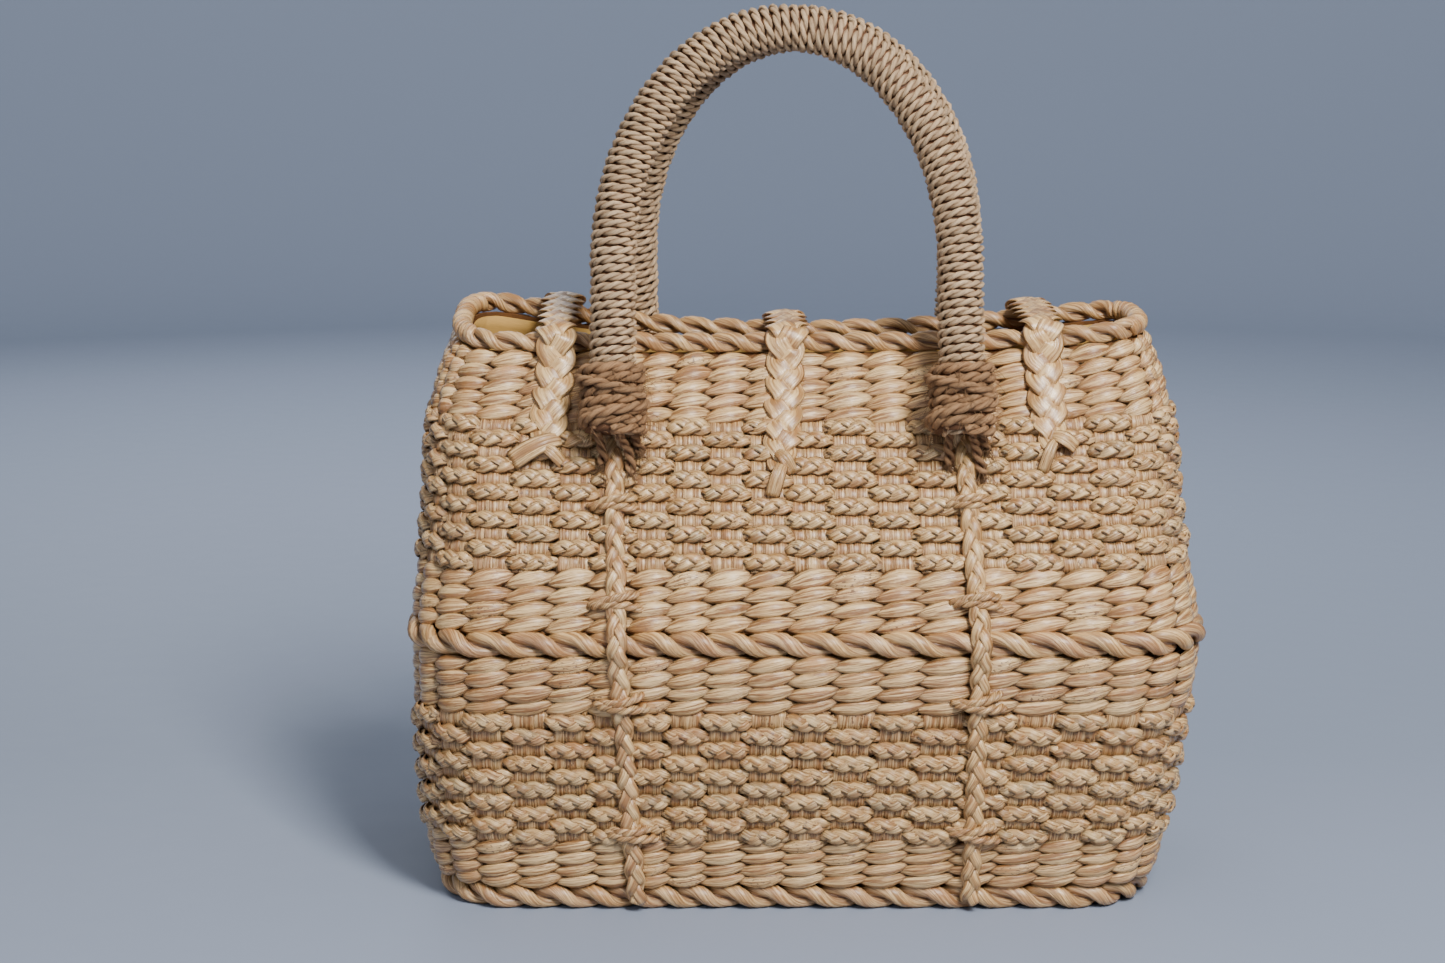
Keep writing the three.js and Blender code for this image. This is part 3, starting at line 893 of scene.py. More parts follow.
def painted_shade_shell(name, low, high, replaced):
    """A dark shell of painted shade just inside the weave, of rings of points outside and inside it,
    that closes what the gaps show."""
    columns = np.arange(0, ALL_COLUMNS, 0.5)
    heights = np.linspace(low, high, 24)
    column, height = np.meshgrid(columns, heights, indexing="ij")
    point, _, _, out = wall_frame(column, height)
    outside = point - out * 2.4 * MM
    inside = point - out * (body().wall - 0.2 * MM)
    ring = np.concatenate([outside, inside[:, ::-1]], 1)
    across, around = ring.shape[:2]
    i, k = np.meshgrid(np.arange(across), np.arange(around), indexing="ij")
    near, far = (i + 1) % across, (k + 1) % around
    quads = np.stack(
        [i * around + k, near * around + k, near * around + far, i * around + far], -1
    ).reshape(-1, 4)
    mesh = bpy.data.meshes.new(name)
    mesh.from_pydata(ring.reshape(-1, 3), [], quads.tolist())
    mesh.update()
    return finished(bpy.data.objects.new(name, mesh), finish("shade_core"), replaced)


class BAG_OT_box_weave(bpy.types.Operator):
    """Weaves the box: twined and braided rows over upright warps"""

    bl_idname = "bag.box_weave"
    bl_label = "Box weave"

    def execute(self, context):
        weave("box", box_rows(), 0, (4, 7, 8), "box_wall", np.random.default_rng(21))
        return {"FINISHED"}


class BAG_OT_roof_weave(bpy.types.Operator):
    """Weaves the roof: twined and braided rows over upright warps"""

    bl_idname = "bag.roof_weave"
    bl_label = "Roof weave"

    def execute(self, context):
        weave("roof", roof_rows(), 0, (6, 12), "roof_wall", np.random.default_rng(22))
        return {"FINISHED"}


def weave(name, rows, parity, greens, node, rng):
    """All the pieces of one wall."""
    low = rows[0]["z"] - rows[0]["thick"] / 2
    high = rows[-1]["z"] + rows[-1]["thick"] / 2
    # The first piece is the dark shell of painted shade behind the strands.
    painted_shade_shell(f"{name}_core", low, high, (node,))
    made = Strands()
    twined_rows([r for r in rows if r["kind"] == "twined"], rng, made)
    made.piece(f"{name}_twined_rows", finish("straw"), "straw", (node,))
    made = Strands()
    braided_rows([r for r in rows if r["kind"] == "braided"], parity, greens, rng, made)
    made.piece(f"{name}_braided_rows", finish("braid"), "braid", (node,))
    made = Strands()
    warps(rows, parity, rng, made)
    made.piece(f"{name}_warps", finish("warp"), "straw", (node,))


class BAG_OT_borders(bpy.types.Operator):
    """Twists the three borders at the foot, the waist and the rim, each of two stems"""

    bl_idname = "bag.borders"
    bl_label = "Borders"

    def execute(self, context):
        b = body()
        rim = b.waist_height + b.roof_height
        border("bottom_rope", 0.0, b.lower_rope, -b.rope_sink, 27, 2.45, 2.75, "bottom_border", 31)
        border("waist_rope", b.waist_height, 0.0, -b.rope_sink, 27, 2.6, 2.85, "waist_border", 32)
        border("rim_rope", rim, b.rim_rope, -b.wall / 2, 31, 2.1, 2.3, "rim_border", 33)
        return {"FINISHED"}


def border(name, height, lift, offset, rounds, spread, thick, node, seed):
    """A rope of two plies round the bag. The plies turn down to the right on its outer side:
    turn = -2 pi * rounds * column / columns. The lowest rope is pressed flat on the floor."""
    rng = np.random.default_rng(seed)
    plies, per_column = 2, 10
    column = np.arange(0, ALL_COLUMNS, 1 / per_column)
    place = placed(column)
    point, along, up, out = wall_frame(place, np.full_like(place, height))
    level = unit(out * (1, 1, 0))
    middle = point + level * offset + np.array([0, 0, lift])
    upright = unit(np.cross(level, along) * -1)
    upright = upright * np.sign(upright[:, 2:])
    turn = -TURN * rounds * column / ALL_COLUMNS
    turn = turn + 0.22 * np.sin(2 * turn)
    paths, normals = twist(middle, level, upright, turn, plies, spread * MM)
    plump = np.stack([np.cos(turn + TURN * k / plies - 0.9) for k in range(plies)])
    half = thick * MM * (1 + 0.13 * plump + wobble(rng, (plies, len(column)), 0.04, 8))
    tint = np.clip(rng.normal(0.38, 0.1, plies), 0, 1)
    made = Strands()
    made.add(
        paths, normals, half, 0.86 * half, round_section(9), tint, rng.uniform(0, 0.8, plies), 0.0, True
    )
    made.points[-1][:, 2] = np.maximum(made.points[-1][:, 2], 0)
    # A dark tube in the rope's middle, painted in the shade colour, fills what shows between the plies.
    inner = 0.6 * spread * MM
    made.add(middle[::3], out[::3], inner, inner, round_section(6), 0.6, 0.5, 1.0, True)
    made.piece(name, finish("border"), "straw", (node,))


# ---- Lining and base


def grid_mesh(name, points, closed_across):
    """A mesh from a grid of points [A, B, 3], joined round the first axis where closed. Its map gives
    metres along both axes, for the cloth's threads."""
    across, along = points.shape[:2]
    joins = across if closed_across else across - 1
    i, k = np.meshgrid(np.arange(joins), np.arange(along - 1), indexing="ij")
    near = (i + 1) % across
    quads = np.stack([i * along + k, near * along + k, near * along + k + 1, i * along + k + 1], -1)
    quads = quads.reshape(-1, 4)
    mesh = bpy.data.meshes.new(name)
    mesh.from_pydata(points.reshape(-1, 3), [], quads.tolist())
    steps = np.linalg.norm(np.roll(points, -1, 0) - points, axis=-1).mean(1)
    u = np.concatenate([[0], np.cumsum(steps)])
    v = run_along(points).mean(0)
    uv = np.stack([u[np.stack([i, i + 1, i + 1, i], -1)], v[np.stack([k, k, k + 1, k + 1], -1)]], -1)
    mesh.uv_layers.new(name="strand").data.foreach_set("uv", uv.astype(np.float32).ravel())
    mesh.polygons.foreach_set("use_smooth", np.ones(len(quads), bool))
    mesh.update()
    return mesh


class BAG_OT_lining(bpy.types.Operator):
    """Hangs the cloth lining inside the walls, with slack folds below the mouth"""

    bl_idname = "bag.lining"
    bl_label = "Lining"

    def execute(self, context):
        b = body()
        rim = b.waist_height + b.roof_height
        column, height = np.meshgrid(
            np.arange(0, ALL_COLUMNS, 0.5), np.linspace(8.5 * MM, rim - MM, 60), indexing="ij"
        )
        point, _, _, out = wall_frame(column, height)
        level = unit(out * (1, 1, 0))
        near_mouth = np.clip((height - 0.6 * rim) / (0.4 * rim), 0, 1)
        folds = np.sin(column * 1.3 + 1.6 * np.sin(height * 90)) + 0.6 * np.sin(
            column * 2.7 - height * 160
        )
        slack = 1.5 * MM * (1.6 + folds) * near_mouth * (1 - near_mouth**7)
        inset = 7.0 * MM - 1.7 * MM * near_mouth**6 + slack
        sides = point - level * inset[..., None]
        foot = sides[:, 0]
        shares = np.linspace(0.02, 1, 14)[:-1]
        centre = foot.mean(0)
        floor = centre + (foot[:, None] - centre) * shares[None, :, None]
        cloth = np.concatenate([floor, sides], 1)
        mesh = grid_mesh("lining_cloth", cloth, True)
        piece = finished(
            bpy.data.objects.new("lining_cloth", mesh), finish("cloth"), ("lining",)
        )
        thick = piece.modifiers.new("thickness", "SOLIDIFY")
        thick.thickness, thick.offset = 0.5 * MM, 0
        return {"FINISHED"}


class BAG_OT_base(bpy.types.Operator):
    """Weaves the floor of the bag from flat rows of stems, level with the bottom border"""

    bl_idname = "bag.base"
    bl_label = "Base"

    def execute(self, context):
        low, high = [np.array(c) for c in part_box("base_panel")]
        rng = np.random.default_rng(41)
        middle, half = (low + high) / 2, (high - low) / 2
        corner = 24 * MM
        rows = 26
        pitch = 2 * half[1] / rows
        t = np.linspace(-1, 1, 5)
        made = Strands()
        for face in (-1, 1):
            for row in range(rows):
                y = -half[1] + (row + 0.5) * pitch
                short = np.maximum(np.abs(y) - (half[1] - corner), 0)
                reach = half[0] - corner + math.sqrt(max(corner**2 - short**2, 0)) - MM
                count = max(2, int(round(2 * reach / (15 * MM))))
                width = 2 * reach / count
                start = -reach + (np.arange(count)[:, None] + 0.5) * width
                x = start + t * width * 0.56
                bulge = 1.3 * MM - 1.4 * MM * np.abs(t) ** 2
                path = np.stack(
                    [
                        middle[0] + x,
                        np.broadcast_to(middle[1] + y + 0.18 * pitch * t, x.shape),
                        np.broadcast_to(middle[2] + face * (bulge - 0.6 * MM), x.shape),
                    ],
                    -1,
                )
                wide = 0.56 * pitch * (1 - np.abs(t) ** 2.4) ** 0.6 + 0.2 * MM
                tint = np.clip(rng.normal(0.4, 0.15, count), 0, 0.82)
                # Painted shade towards both ends, where the stem goes down.
                painted_shade = np.clip((np.abs(t) - 0.6) / 0.4, 0, 1)
                normal = np.array([0.0, 0.0, face])
                seeds = rng.uniform(0, 1, count)
                made.add(path, normal, wide, 1.1 * MM, LENS, tint, seeds, painted_shade)
        made.piece("base_weave", finish("straw"), "straw", ("base_panel",))
        return {"FINISHED"}


# ---- Handles and lashings

# Where the handles sit: the side, the place of the middle of their lower ends, and how far they lean
# in, in radians.
HANDLE_SEATS = {
    "front": (-1, (-0.0077, -0.051843, 0.181433), 0.270944),
    "back": (1, (-0.0016, 0.052391, 0.181477), 0.274567),
}


def seat_frame(name):
    """The seat's origin, the direction of the legs and the outward direction square to the arch."""
    side, origin, lean = HANDLE_SEATS[name]
    legs = np.array([0, -side * math.sin(lean), math.cos(lean)])
    out = np.array([0, side * math.cos(lean), math.sin(lean)])
    return side, np.array(origin), legs, out


def arch_path(name, step):
    """The handle's middle line at even steps: a leg up, half an ellipse, and a leg down."""
    h = handles()
    _, origin, legs, out = seat_frame(name)
    half, leg = h.span / 2, h.height - h.bow
    turn = np.linspace(math.pi, 0, 800)
    x = np.concatenate([[-half], half * np.cos(turn), [half]])
    up = np.concatenate([[0], leg + h.bow * np.sin(turn), [0]])
    points = origin + x[:, None] * np.array([1.0, 0, 0]) + up[:, None] * legs
    return even_path(points, step), out


def wound(path, side_way, radius, pitch, steps, start=0.0, uneven=None):
    """A line wound round a path: at each turn of 2 pi it moves on by the pitch. Returns the line and
    its directions away from the path and along it."""
    run = run_along(path)
    turns = run[-1] / pitch
    places = np.linspace(0, run[-1], int(turns * steps))
    middle = np.stack([np.interp(places, run, path[:, i]) for i in range(3)], -1)
    along = tangents(middle)
    first = square_to(np.broadcast_to(side_way, middle.shape), along)
    second = np.cross(along, first)
    angle = (TURN * places / pitch + start)[:, None]
    away = np.cos(angle) * first + np.sin(angle) * second
    reach = radius if uneven is None else radius + uneven(places)[:, None]
    return middle + reach * away, away, along


class BAG_OT_handles(bpy.types.Operator):
    """Winds each handle with two-ply twine over a dark inner tube of painted shade"""

    bl_idname = "bag.handles"
    bl_label = "Handles"

    def execute(self, context):
        h = handles()
        for seed, name in enumerate(HANDLE_SEATS):
            rng = np.random.default_rng(51 + seed)
            path, out = arch_path(name, MM)
            made = Strands()
            # The dark tube under the twine is painted in the shade colour.
            shade_core = path[::6]
            made.add(shade_core, out, h.radius - 2.6 * MM, h.radius - 2.6 * MM, round_section(12), 1, 0.5, 1.2)
            line, away, along = wound(path, out, h.radius - 1.65 * MM, h.turn, 26)
            line += away * wobble(rng, len(line), 0.1 * MM, 3)[:, None]
            line += along * wobble(rng, len(line), 0.08 * MM, 5)[:, None]
            turn = TURN * run_along(line) / (11.5 * MM)
            paths, normals = twist(line, away, along, turn, 2, 0.82 * MM)
            made.add(paths, normals, 1.02 * MM, 0.92 * MM, round_section(5), [0.2, 0.5], [0.2, 0.7], 0.0)
            made.piece(f"handle_{name}_twine", finish("twine"), "twine", (f"handle_{name}",))
        return {"FINISHED"}


# Frayed ends of a lashing, in millimetres from the foot of its leg: the place across and up along the
# leg where each starts, and the place across and down the roof where it ends.
LASHING_ENDS = ((-7, 2, -4.5, 8), (2.5, -1, 8, 11), (6.5, 3, 11, 3))


class BAG_OT_lashings(bpy.types.Operator):
    """Ties the handles' legs on with rough thick twine and leaves its frayed ends hanging"""

    bl_idname = "bag.lashings"
    bl_label = "Lashings"

    def execute(self, context):
        h = handles()
        for number, name in enumerate(HANDLE_SEATS):
            side, origin, legs, out = seat_frame(name)
            for end, x in (("left", -h.span / 2), ("right", h.span / 2)):
                rng = np.random.default_rng(61 + 2 * number + (x > 0))
                foot = origin + np.array([x, 0, 0])
                made = Strands()
                self.collar(made, foot, legs, out, rng)
                self.crossings(made, foot, legs, out, rng)
                self.ends(made, foot, legs, out, side, rng)
                node = f"lashing_{name}_{end}"
                made.piece(f"{node}_twine", finish("lashing"), "lashing", (node,))
        return {"FINISHED"}

    def collar(self, made, foot, legs, out, rng):
        """Five thick turns, and a dark tube under them, painted in the shade colour."""
        h = handles()
        path = foot + legs * np.linspace(0.5 * MM, h.lashing_length - 1.5 * MM, 40)[:, None]
        radius = h.lashing_radius - 1.9 * MM
        made.add(path[::4], out, radius - 0.5 * MM, radius - 0.5 * MM, round_section(14), 1, 0.3, 1.0)
        line, away, along = wound(path, out, radius, 3.9 * MM, 44)
        line += away * wobble(rng, len(line), 0.28 * MM, 20)[:, None]
        line += along * wobble(rng, len(line), 0.3 * MM, 40)[:, None]
        turn = TURN * run_along(line) / (13 * MM)
        paths, normals = twist(line, away, along, turn, 2, 1.05 * MM)
        wide = 1.35 * MM * (1 + wobble(rng, (2, len(line)), 0.08, 20))
        made.add(paths, normals, wide, 0.88 * wide, round_section(6), [0.1, 0.6], [0.1, 0.6], 0.0)

    def crossings(self, made, foot, legs, out, rng):
        """Two turns that run slanting over the collar."""
        h = handles()
        across = np.cross(legs, out)
        for k in range(2):
            turn = np.linspace(-0.6, 0.6, 40) * math.pi + rng.uniform(-0.3, 0.3)
            rise = np.linspace(3 + 9 * k, 13 + 10 * k, 40) * MM
            rise = rise[::-1] if k else rise
            radius = h.lashing_radius + 0.1 * MM - 2.6 * MM * np.abs(np.linspace(-1, 1, 40)) ** 6
            away = np.cos(turn)[:, None] * out + np.sin(turn)[:, None] * across
            line = foot + legs * rise[:, None] + away * radius[:, None]
            angle = TURN * run_along(line) / (14 * MM)
            beside = unit(np.cross(away, tangents(line)))
            paths, normals = twist(line, away, beside, angle, 2, 0.95 * MM)
            made.add(paths, normals, 1.2 * MM, 1.1 * MM, round_section(6), [0.0, 0.4], [0.3, 0.8], 0.0)

    def ends(self, made, foot, legs, out, side, rng):
        """Short ends that come down on the roof below the collar, and loose hairs all round."""
        h = handles()
        x_axis = np.array([1.0, 0, 0])
        tips = []
        for shift, rise, end_shift, drop in LASHING_ENDS:
            t = np.linspace(0, 1, 16)[:, None]
            start = foot + x_axis * shift * MM + out * 8.5 * MM + legs * rise * MM
            x, z = foot[0] + end_shift * MM, foot[2] - (6 + drop) * MM
            place = face_point(x, z, side, 2.4 * MM)
            middle = face_point(x - 0.3 * (x - foot[0]), z + 0.75 * drop * MM, side, 7.5 * MM)
            line = (1 - t) ** 2 * start + 2 * t * (1 - t) * middle + t**2 * place
            line[:, 0] += wobble(rng, len(line), 0.5 * MM, 6) * t[:, 0]
            away = np.broadcast_to(out, line.shape)
            beside = unit(np.cross(away, tangents(line)))
            angle = TURN * run_along(line) / (11 * MM)
            opened = (0.85 + 0.7 * t**3) * MM
            paths, normals = twist(line, away, beside, angle, 2, opened)
            made.add(paths, normals, 1.15 * MM, 1.0 * MM, round_section(6), [0.3, 0.6], [0.2, 0.5], 0.25)
            tips.append(line[-3:])
        across = np.cross(legs, out)
        count = 240
        angle = rng.uniform(0, TURN, (count, 1))
        away = np.cos(angle) * out + np.sin(angle) * across
        rise = rng.uniform(-2, 26, (count, 1)) * MM
        start = foot + legs * rise + away * (h.lashing_radius - 1.2 * MM)
        hairs(made, start, unit(away + rng.normal(0, 1.0, (count, 3))), (2, 8), 0.5, rng)
        start = np.repeat(np.concatenate(tips), 12, axis=0)
        start = start + rng.normal(0, 0.7 * MM, start.shape)
        down = legs * -1 + out * 0.25 + rng.normal(0, 0.45, start.shape)
        hairs(made, start, unit(down), (3, 8), 0.2, rng)


def hairs(made, start, way, reach, droop, rng):
    """Loose hairs from their starts [H, 3] along their ways, curling a little and drooping:
    point = start + reach * (t way + t^2 (curl - droop z))."""
    count = len(start)
    t = np.linspace(0, 1, 5)[None, :, None]
    length = rng.uniform(*reach, (count, 1, 1)) * MM
    curl = rng.normal(0, 0.3, (count, 1, 3)) - np.array([0, 0, droop])
    path = start[:, None] + length * (t * way[:, None] + t**2 * curl)
    thin = (0.17 - 0.1 * t[..., 0]) * MM
    made.add(path, (0.3, -0.9, 0.3), thin, thin, round_section(3), rng.uniform(0, 1, count), 0.5, 0.0)


# ---- Straps and tabs

# Straps: the side, and the place across at the lashing, the waist and the floor, in shares of half
# the body's length. Tabs: the place across at the mouth and at the front end, and the heights of the
# front and back ends, in shares of the roof's height.
STRAPS = {
    "front_left": (-1, -0.493, -0.476, -0.43),
    "front_right": (-1, 0.397, 0.427, 0.414),
    "back_left": (1, -0.456, -0.466, -0.463),
    "back_right": (1, 0.434, 0.444, 0.437),
}
TABS = {
    "left": (-0.643, -0.666, 0.64, 0.72),
    "centre": (-0.049, -0.069, 0.59, 0.7),
    "right": (0.609, 0.624, 0.66, 0.72),
}


# Cut strands at a tab's ends, in millimetres: from the first place across and up to the second, and
# half the width.
TAB_TAILS = {
    "left": ((-2, 1, 7, -5, 2.6), (5.5, 3.5, -12.5, -4, 4.0)),
    "centre": ((1.5, 1, -3, -10, 2.9), (-1.5, 5, 5, -1.5, 2.7)),
    "right": ((0, 2, 9, -2, 3.0), (1.5, 0.5, -4, -10, 2.3)),
}


def over_border(centre, side, radius, start, end, steps=12):
    """Points on an arc round a border's middle, from one angle above the level to another."""
    turn = np.linspace(start, end, steps)[:, None]
    return centre + radius * (np.cos(turn) * [0, side, 0] + np.sin(turn) * [0, 0, 1.0])


def strap_path(side, top, waist, foot, lie):
    """Up the box, over the waist border and up the roof to under the lashing."""
    b = body()
    half = b.length / 2
    rope = b.lower_rope
    box_z = np.linspace(rope, b.waist_height - 3.2 * rope, 24)
    roof_z = np.linspace(b.waist_height + 3.2 * rope, 183 * MM, 24)
    box_x = half * np.interp(box_z, [0, b.waist_height], [foot, waist])
    roof_x = half * np.interp(roof_z, [b.waist_height, 0.178], [waist, top])
    box = face_point(box_x, box_z, side, lie)
    roof = face_point(roof_x, roof_z, side, lie)
    centre = face_point(half * waist, b.waist_height, side, -b.rope_sink)
    over = over_border(centre, side, rope + lie, -0.75, 0.85)
    return even_path(np.concatenate([box, over, roof]), 1.1 * MM, 5)


class BAG_OT_straps(bpy.types.Operator):
    """Braids the four straps down the outside, with twisted cords tied across them"""

    bl_idname = "bag.straps"
    bl_label = "Straps"

    def execute(self, context):
        s = braids()
        for number, (name, (side, top, waist, foot)) in enumerate(STRAPS.items()):
            rng = np.random.default_rng(71 + number)
            path = strap_path(side, top, waist, foot, 3.1 * MM)
            along = tangents(path)
            across = square_to(np.broadcast_to([-float(side), 0, 0], path.shape), along)
            out = np.cross(across, along)
            turns = rng.uniform(0, TURN)
            period = -3 * s.strap_facet
            paths, normals = braid(path, across, out, s.strap_width * 0.22, 1.35 * MM, period, turns)
            made = Strands()
            wide = s.strap_width * 0.235 * (1 + wobble(rng, (3, path.shape[0]), 0.06, 8))
            tint = np.clip(rng.normal(0.42, 0.12, 3), 0, 1)
            section = round_section(8)
            made.add(paths, normals, wide, 0.5 * wide, section, tint, rng.uniform(0, 0.8, 3), 0.0)
            node = f"strap_{name}"
            made.piece(f"{node}_braid", finish("braid"), "braid", (node,))
            self.ties(name, side, path, rng)
        return {"FINISHED"}

    def ties(self, name, side, path, rng):
        """Twisted cords that cross the strap and go into the weave at both sides."""
        made = Strands()
        for height in (0.155, 0.121, 0.084, 0.032):
            i = int(np.argmin(np.abs(path[:, 2] - height)))
            for turn in range(2):
                x = np.linspace(-1, 1, 30)
                reach = (9.5 - 2 * turn) * MM
                place = path[i] + np.array([0, 0, (turn - 0.5) * 2.6 * MM])
                slant = x * rng.uniform(0.5, 2.2) * MM * (1 if turn else -1)
                lift = 5.0 * MM * np.cos(x * math.pi / 2) ** 0.7 - 2.4 * MM
                wall_way = unit(
                    face_point(path[i, 0], height, side, MM) - face_point(path[i, 0], height, side)
                )
                line = (
                    place
                    + x[:, None] * reach * np.array([1.0, 0, 0])
                    + slant[:, None] * np.array([0, 0, 1.0])
                    + lift[:, None] * wall_way
                )
                beside = unit(np.cross(wall_way, tangents(line)))
                away = np.cross(tangents(line), beside)
                angle = TURN * run_along(line) / (9 * MM)
                paths, normals = twist(line, away, beside, angle, 2, 0.85 * MM)
                tint = np.clip(rng.normal(0.45, 0.12, 2), 0, 1)
                made.add(
                    paths, normals, 1.15 * MM, 1.0 * MM, round_section(7), tint,
                    rng.uniform(0, 0.8, 2), 0.0,
                )
        made.piece(f"strap_{name}_ties", finish("braid"), "braid")


def tab_path(mouth, end, front_end, back_end, lie):
    """Up the front of the roof, over both edges of the mouth and down the back."""
    b = body()
    half = b.length / 2
    rim = b.waist_height + b.roof_height
    reach = b.rim_rope + lie
    parts = []
    for side, share, last in ((-1, front_end, end), (1, back_end, mouth)):
        low = b.waist_height + share * b.roof_height
        z = np.linspace(low, rim - 0.6 * reach, 24)
        x = half * np.interp(z, [low, rim], [last, mouth])
        wall = face_point(x, z, side, lie)
        centre = face_point(half * mouth, rim, side, 0) + np.array(
            [0, -side * b.wall / 2, b.rim_rope + 0.3 * MM]
        )
        over = over_border(centre, side, reach, 0.35, math.pi / 2, 8)
        part = np.concatenate([wall, over])
        parts.append(part if side < 0 else part[::-1])
    return even_path(np.concatenate(parts), 0.8 * MM, 7)


class BAG_OT_tabs(bpy.types.Operator):
    """Braids the three flat tabs across the mouth"""

    bl_idname = "bag.tabs"
    bl_label = "Tabs"

    def execute(self, context):
        s = braids()
        for number, (name, route) in enumerate(TABS.items()):
            rng = np.random.default_rng(81 + number)
            path = tab_path(*route, 2.6 * MM)
            along = tangents(path)
            across = square_to(np.broadcast_to([1.0, 0, 0], path.shape), along)
            out = np.cross(across, along)
            run = run_along(path)
            ends = np.minimum(run, run[-1] - run)
            narrow = 0.55 + 0.45 * np.clip(ends / (14 * MM), 0, 1) ** 0.8
            turns = rng.uniform(0, TURN)
            period = 3 * s.tab_facet
            paths, normals = braid(
                path, across, out, s.tab_width * 0.21, 1.0 * MM, period, turns, narrow, lean=0.2
            )
            made = Strands()
            spread_out = 1 + 0.32 * np.clip((path[:, 2] - path[:, 2].max()) / (9 * MM) + 1, 0, 1)
            wide = s.tab_width * 0.25 * narrow * (1 + wobble(rng, (3, len(path)), 0.05, 8))
            wide *= spread_out
            tint = np.clip(rng.normal(0.35, 0.1, 3), 0, 1)
            section = round_section(10)
            # The -0.2 lessens the painted shade along the tab's strand sides.
            made.add(paths, normals, wide, 0.72 * MM, section, tint, rng.uniform(0, 0.8, 3), -0.2)
            for side, end in ((-1, path[0]), (1, path[-1])):
                self.tails(made, side, end, TAB_TAILS[name], rng)
            node = f"tab_{name}"
            made.piece(f"{node}_braid", finish("braid"), "braid", (node,))
        return {"FINISHED"}

    def tails(self, made, side, end, tails, rng):
        """Flat cut strands that wrap over the tab's end and lie on the weave beside it."""
        t = np.linspace(0, 1, 14)
        for x0, z0, x1, z1, half in tails:
            x = end[0] - side * (x0 + (x1 - x0) * t) * MM
            z = end[2] + (z0 + (z1 - z0) * t**1.2) * MM
            lie = (1.2 + 4.3 * np.sin(math.pi * np.clip(t * 0.85 + 0.12, 0, 1)) ** 0.8) * MM
            line = face_point(x, z, side, lie)
            normal = unit(line - face_point(x, z, side))
            for part in (-0.55, 0.0, 0.55):
                across = np.cross(normal, tangents(line))
                fan = part * half * MM * (0.75 + 0.35 * t)[:, None]
                lift = normal * (0.25 - 0.5 * abs(part)) * MM
                wide = half * MM * 0.5 * (0.8 + 0.3 * t)
                tint = np.clip(rng.normal(0.25, 0.12), 0, 0.7)
                made.add(
                    line + across * fan + lift, normal, wide, 0.6 * MM, RIBBON, tint,
                    rng.uniform(0, 0.8), 0.0,
                )


# ---- Stage


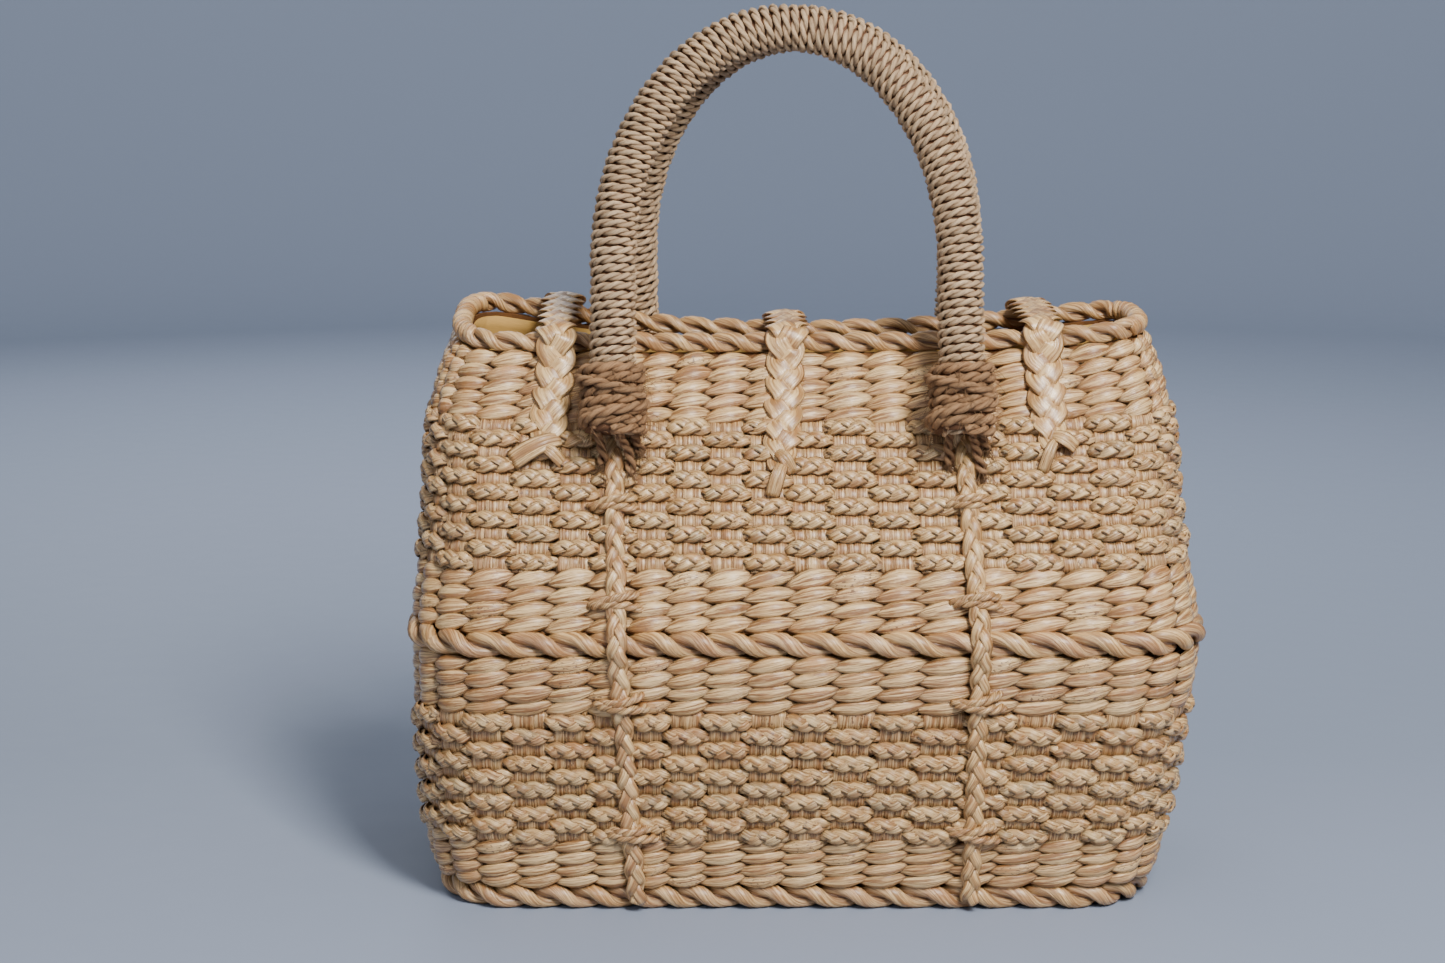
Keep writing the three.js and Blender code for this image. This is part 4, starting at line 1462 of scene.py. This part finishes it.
class BAG_OT_stage(bpy.types.Operator):
    """Sets the floor, the soft lights, the pale surroundings and the camera"""

    bl_idname = "bag.stage"
    bl_label = "Stage"

    def execute(self, context):
        scene = context.scene
        c = colours()
        turn = TURN * np.arange(96) / 96
        bend = np.linspace(0, math.pi / 2, 16)
        radius = np.concatenate([[0.001, 0.5, 1.0, 1.5], 2.0 + 0.7 * np.sin(bend), [2.7]])
        height = np.concatenate([[0] * 4, 0.7 * (1 - np.cos(bend)), [1.5]])
        bowl = np.stack(
            [
                radius * np.cos(turn)[:, None],
                radius * np.sin(turn)[:, None],
                np.broadcast_to(height, (len(turn), len(height))),
            ],
            -1,
        )
        floor = bpy.data.objects.new("floor", grid_mesh("floor", bowl, True))
        mesh = floor.data
        scene.collection.objects.link(floor)
        paint = Finish("floor paint")
        place = paint.node("ShaderNodeTexCoord")
        grain = paint.noise(place[3], scale=60, detail=3)
        paint.surface(full(c.floor), grain * 0.1 + 0.55, grain, 0.02 * MM, 0.3)
        mesh.materials.append(paint.material)

        world = bpy.data.worlds.new("surroundings")
        scene.world = world
        world.use_nodes = True
        back = world.node_tree.nodes["Background"]
        back.inputs[0].default_value = (0.66, 0.69, 0.74, 1)
        back.inputs[1].default_value = 0.54

        self.lamp("window", (0.4, -0.95, 1.1), (0, 0, 0.12), (0.3, 0.7), 34, (1.0, 0.975, 0.94))
        self.lamp("fill", (-0.9, -1.3, 0.6), (0, 0, 0.1), (0.9, 0.9), 3, (0.95, 0.97, 1.0))
        self.lamp("rear", (-0.6, 1.4, 0.9), (0, 0, 0.12), (1.0, 1.0), 4, (0.97, 0.98, 1.0))
        self.lamp("backdrop", (0, 0.4, 1.25), (0, 2.6, 0.8), (1.6, 0.6), 20, (0.97, 0.98, 1.0))

        camera = bpy.data.cameras.new("camera")
        camera.sensor_width = 36
        camera.lens = 36 * 2400 / 1445
        camera.clip_start = 0.01
        seen = bpy.data.objects.new("camera", camera)
        seen.location = (-0.0322, -0.947, 0.321)
        seen.rotation_euler = (math.radians(80), 0, 0)
        scene.collection.objects.link(seen)
        scene.camera = seen
        return {"FINISHED"}

    def lamp(self, name, place, target, size, power, colour):
        """A soft lamp, size wide and high, that faces its target."""
        light = bpy.data.lights.new(name, "AREA")
        light.shape, light.energy, light.color = "RECTANGLE", power, colour
        light.size, light.size_y = size
        lamp = bpy.data.objects.new(name, light)
        lamp.location = place
        lamp.rotation_euler = (Vector(target) - Vector(place)).to_track_quat("-Z", "Y").to_euler()
        bpy.context.scene.collection.objects.link(lamp)


OPERATORS = [
    BAG_OT_stage,
    BAG_OT_box_weave,
    BAG_OT_roof_weave,
    BAG_OT_borders,
    BAG_OT_base,
    BAG_OT_lining,
    BAG_OT_handles,
    BAG_OT_lashings,
    BAG_OT_straps,
    BAG_OT_tabs,
]
GROUPS = {
    "bag_body": BagBody,
    "bag_handles": BagHandles,
    "bag_braids": BagBraids,
    "bag_colours": BagColours,
}


class BAG_PT_panel(bpy.types.Panel):
    """Lists the handbag's pieces and sizes"""

    bl_idname = "BAG_PT_panel"
    bl_label = "Straw handbag"
    bl_space_type = "VIEW_3D"
    bl_region_type = "UI"
    bl_category = "Handbag"

    def draw(self, context):
        for operator in OPERATORS:
            self.layout.operator(operator.bl_idname)
        for name, group in GROUPS.items():
            values = getattr(context.scene, name)
            for key in group.__annotations__:
                self.layout.prop(values, key)


def register():
    for group in GROUPS.values():
        bpy.utils.register_class(group)
    for operator in OPERATORS:
        bpy.utils.register_class(operator)
    bpy.utils.register_class(BAG_PT_panel)
    for name, group in GROUPS.items():
        setattr(bpy.types.Scene, name, bpy.props.PointerProperty(type=group))


def unregister():
    for name in GROUPS:
        delattr(bpy.types.Scene, name)
    for made in [BAG_PT_panel, *OPERATORS, *GROUPS.values()]:
        bpy.utils.unregister_class(made)


def main():
    register()
    for operator in OPERATORS:
        group, name = operator.bl_idname.split(".")
        getattr(getattr(bpy.ops, group), name)()


if __name__ == "__main__":
    main()
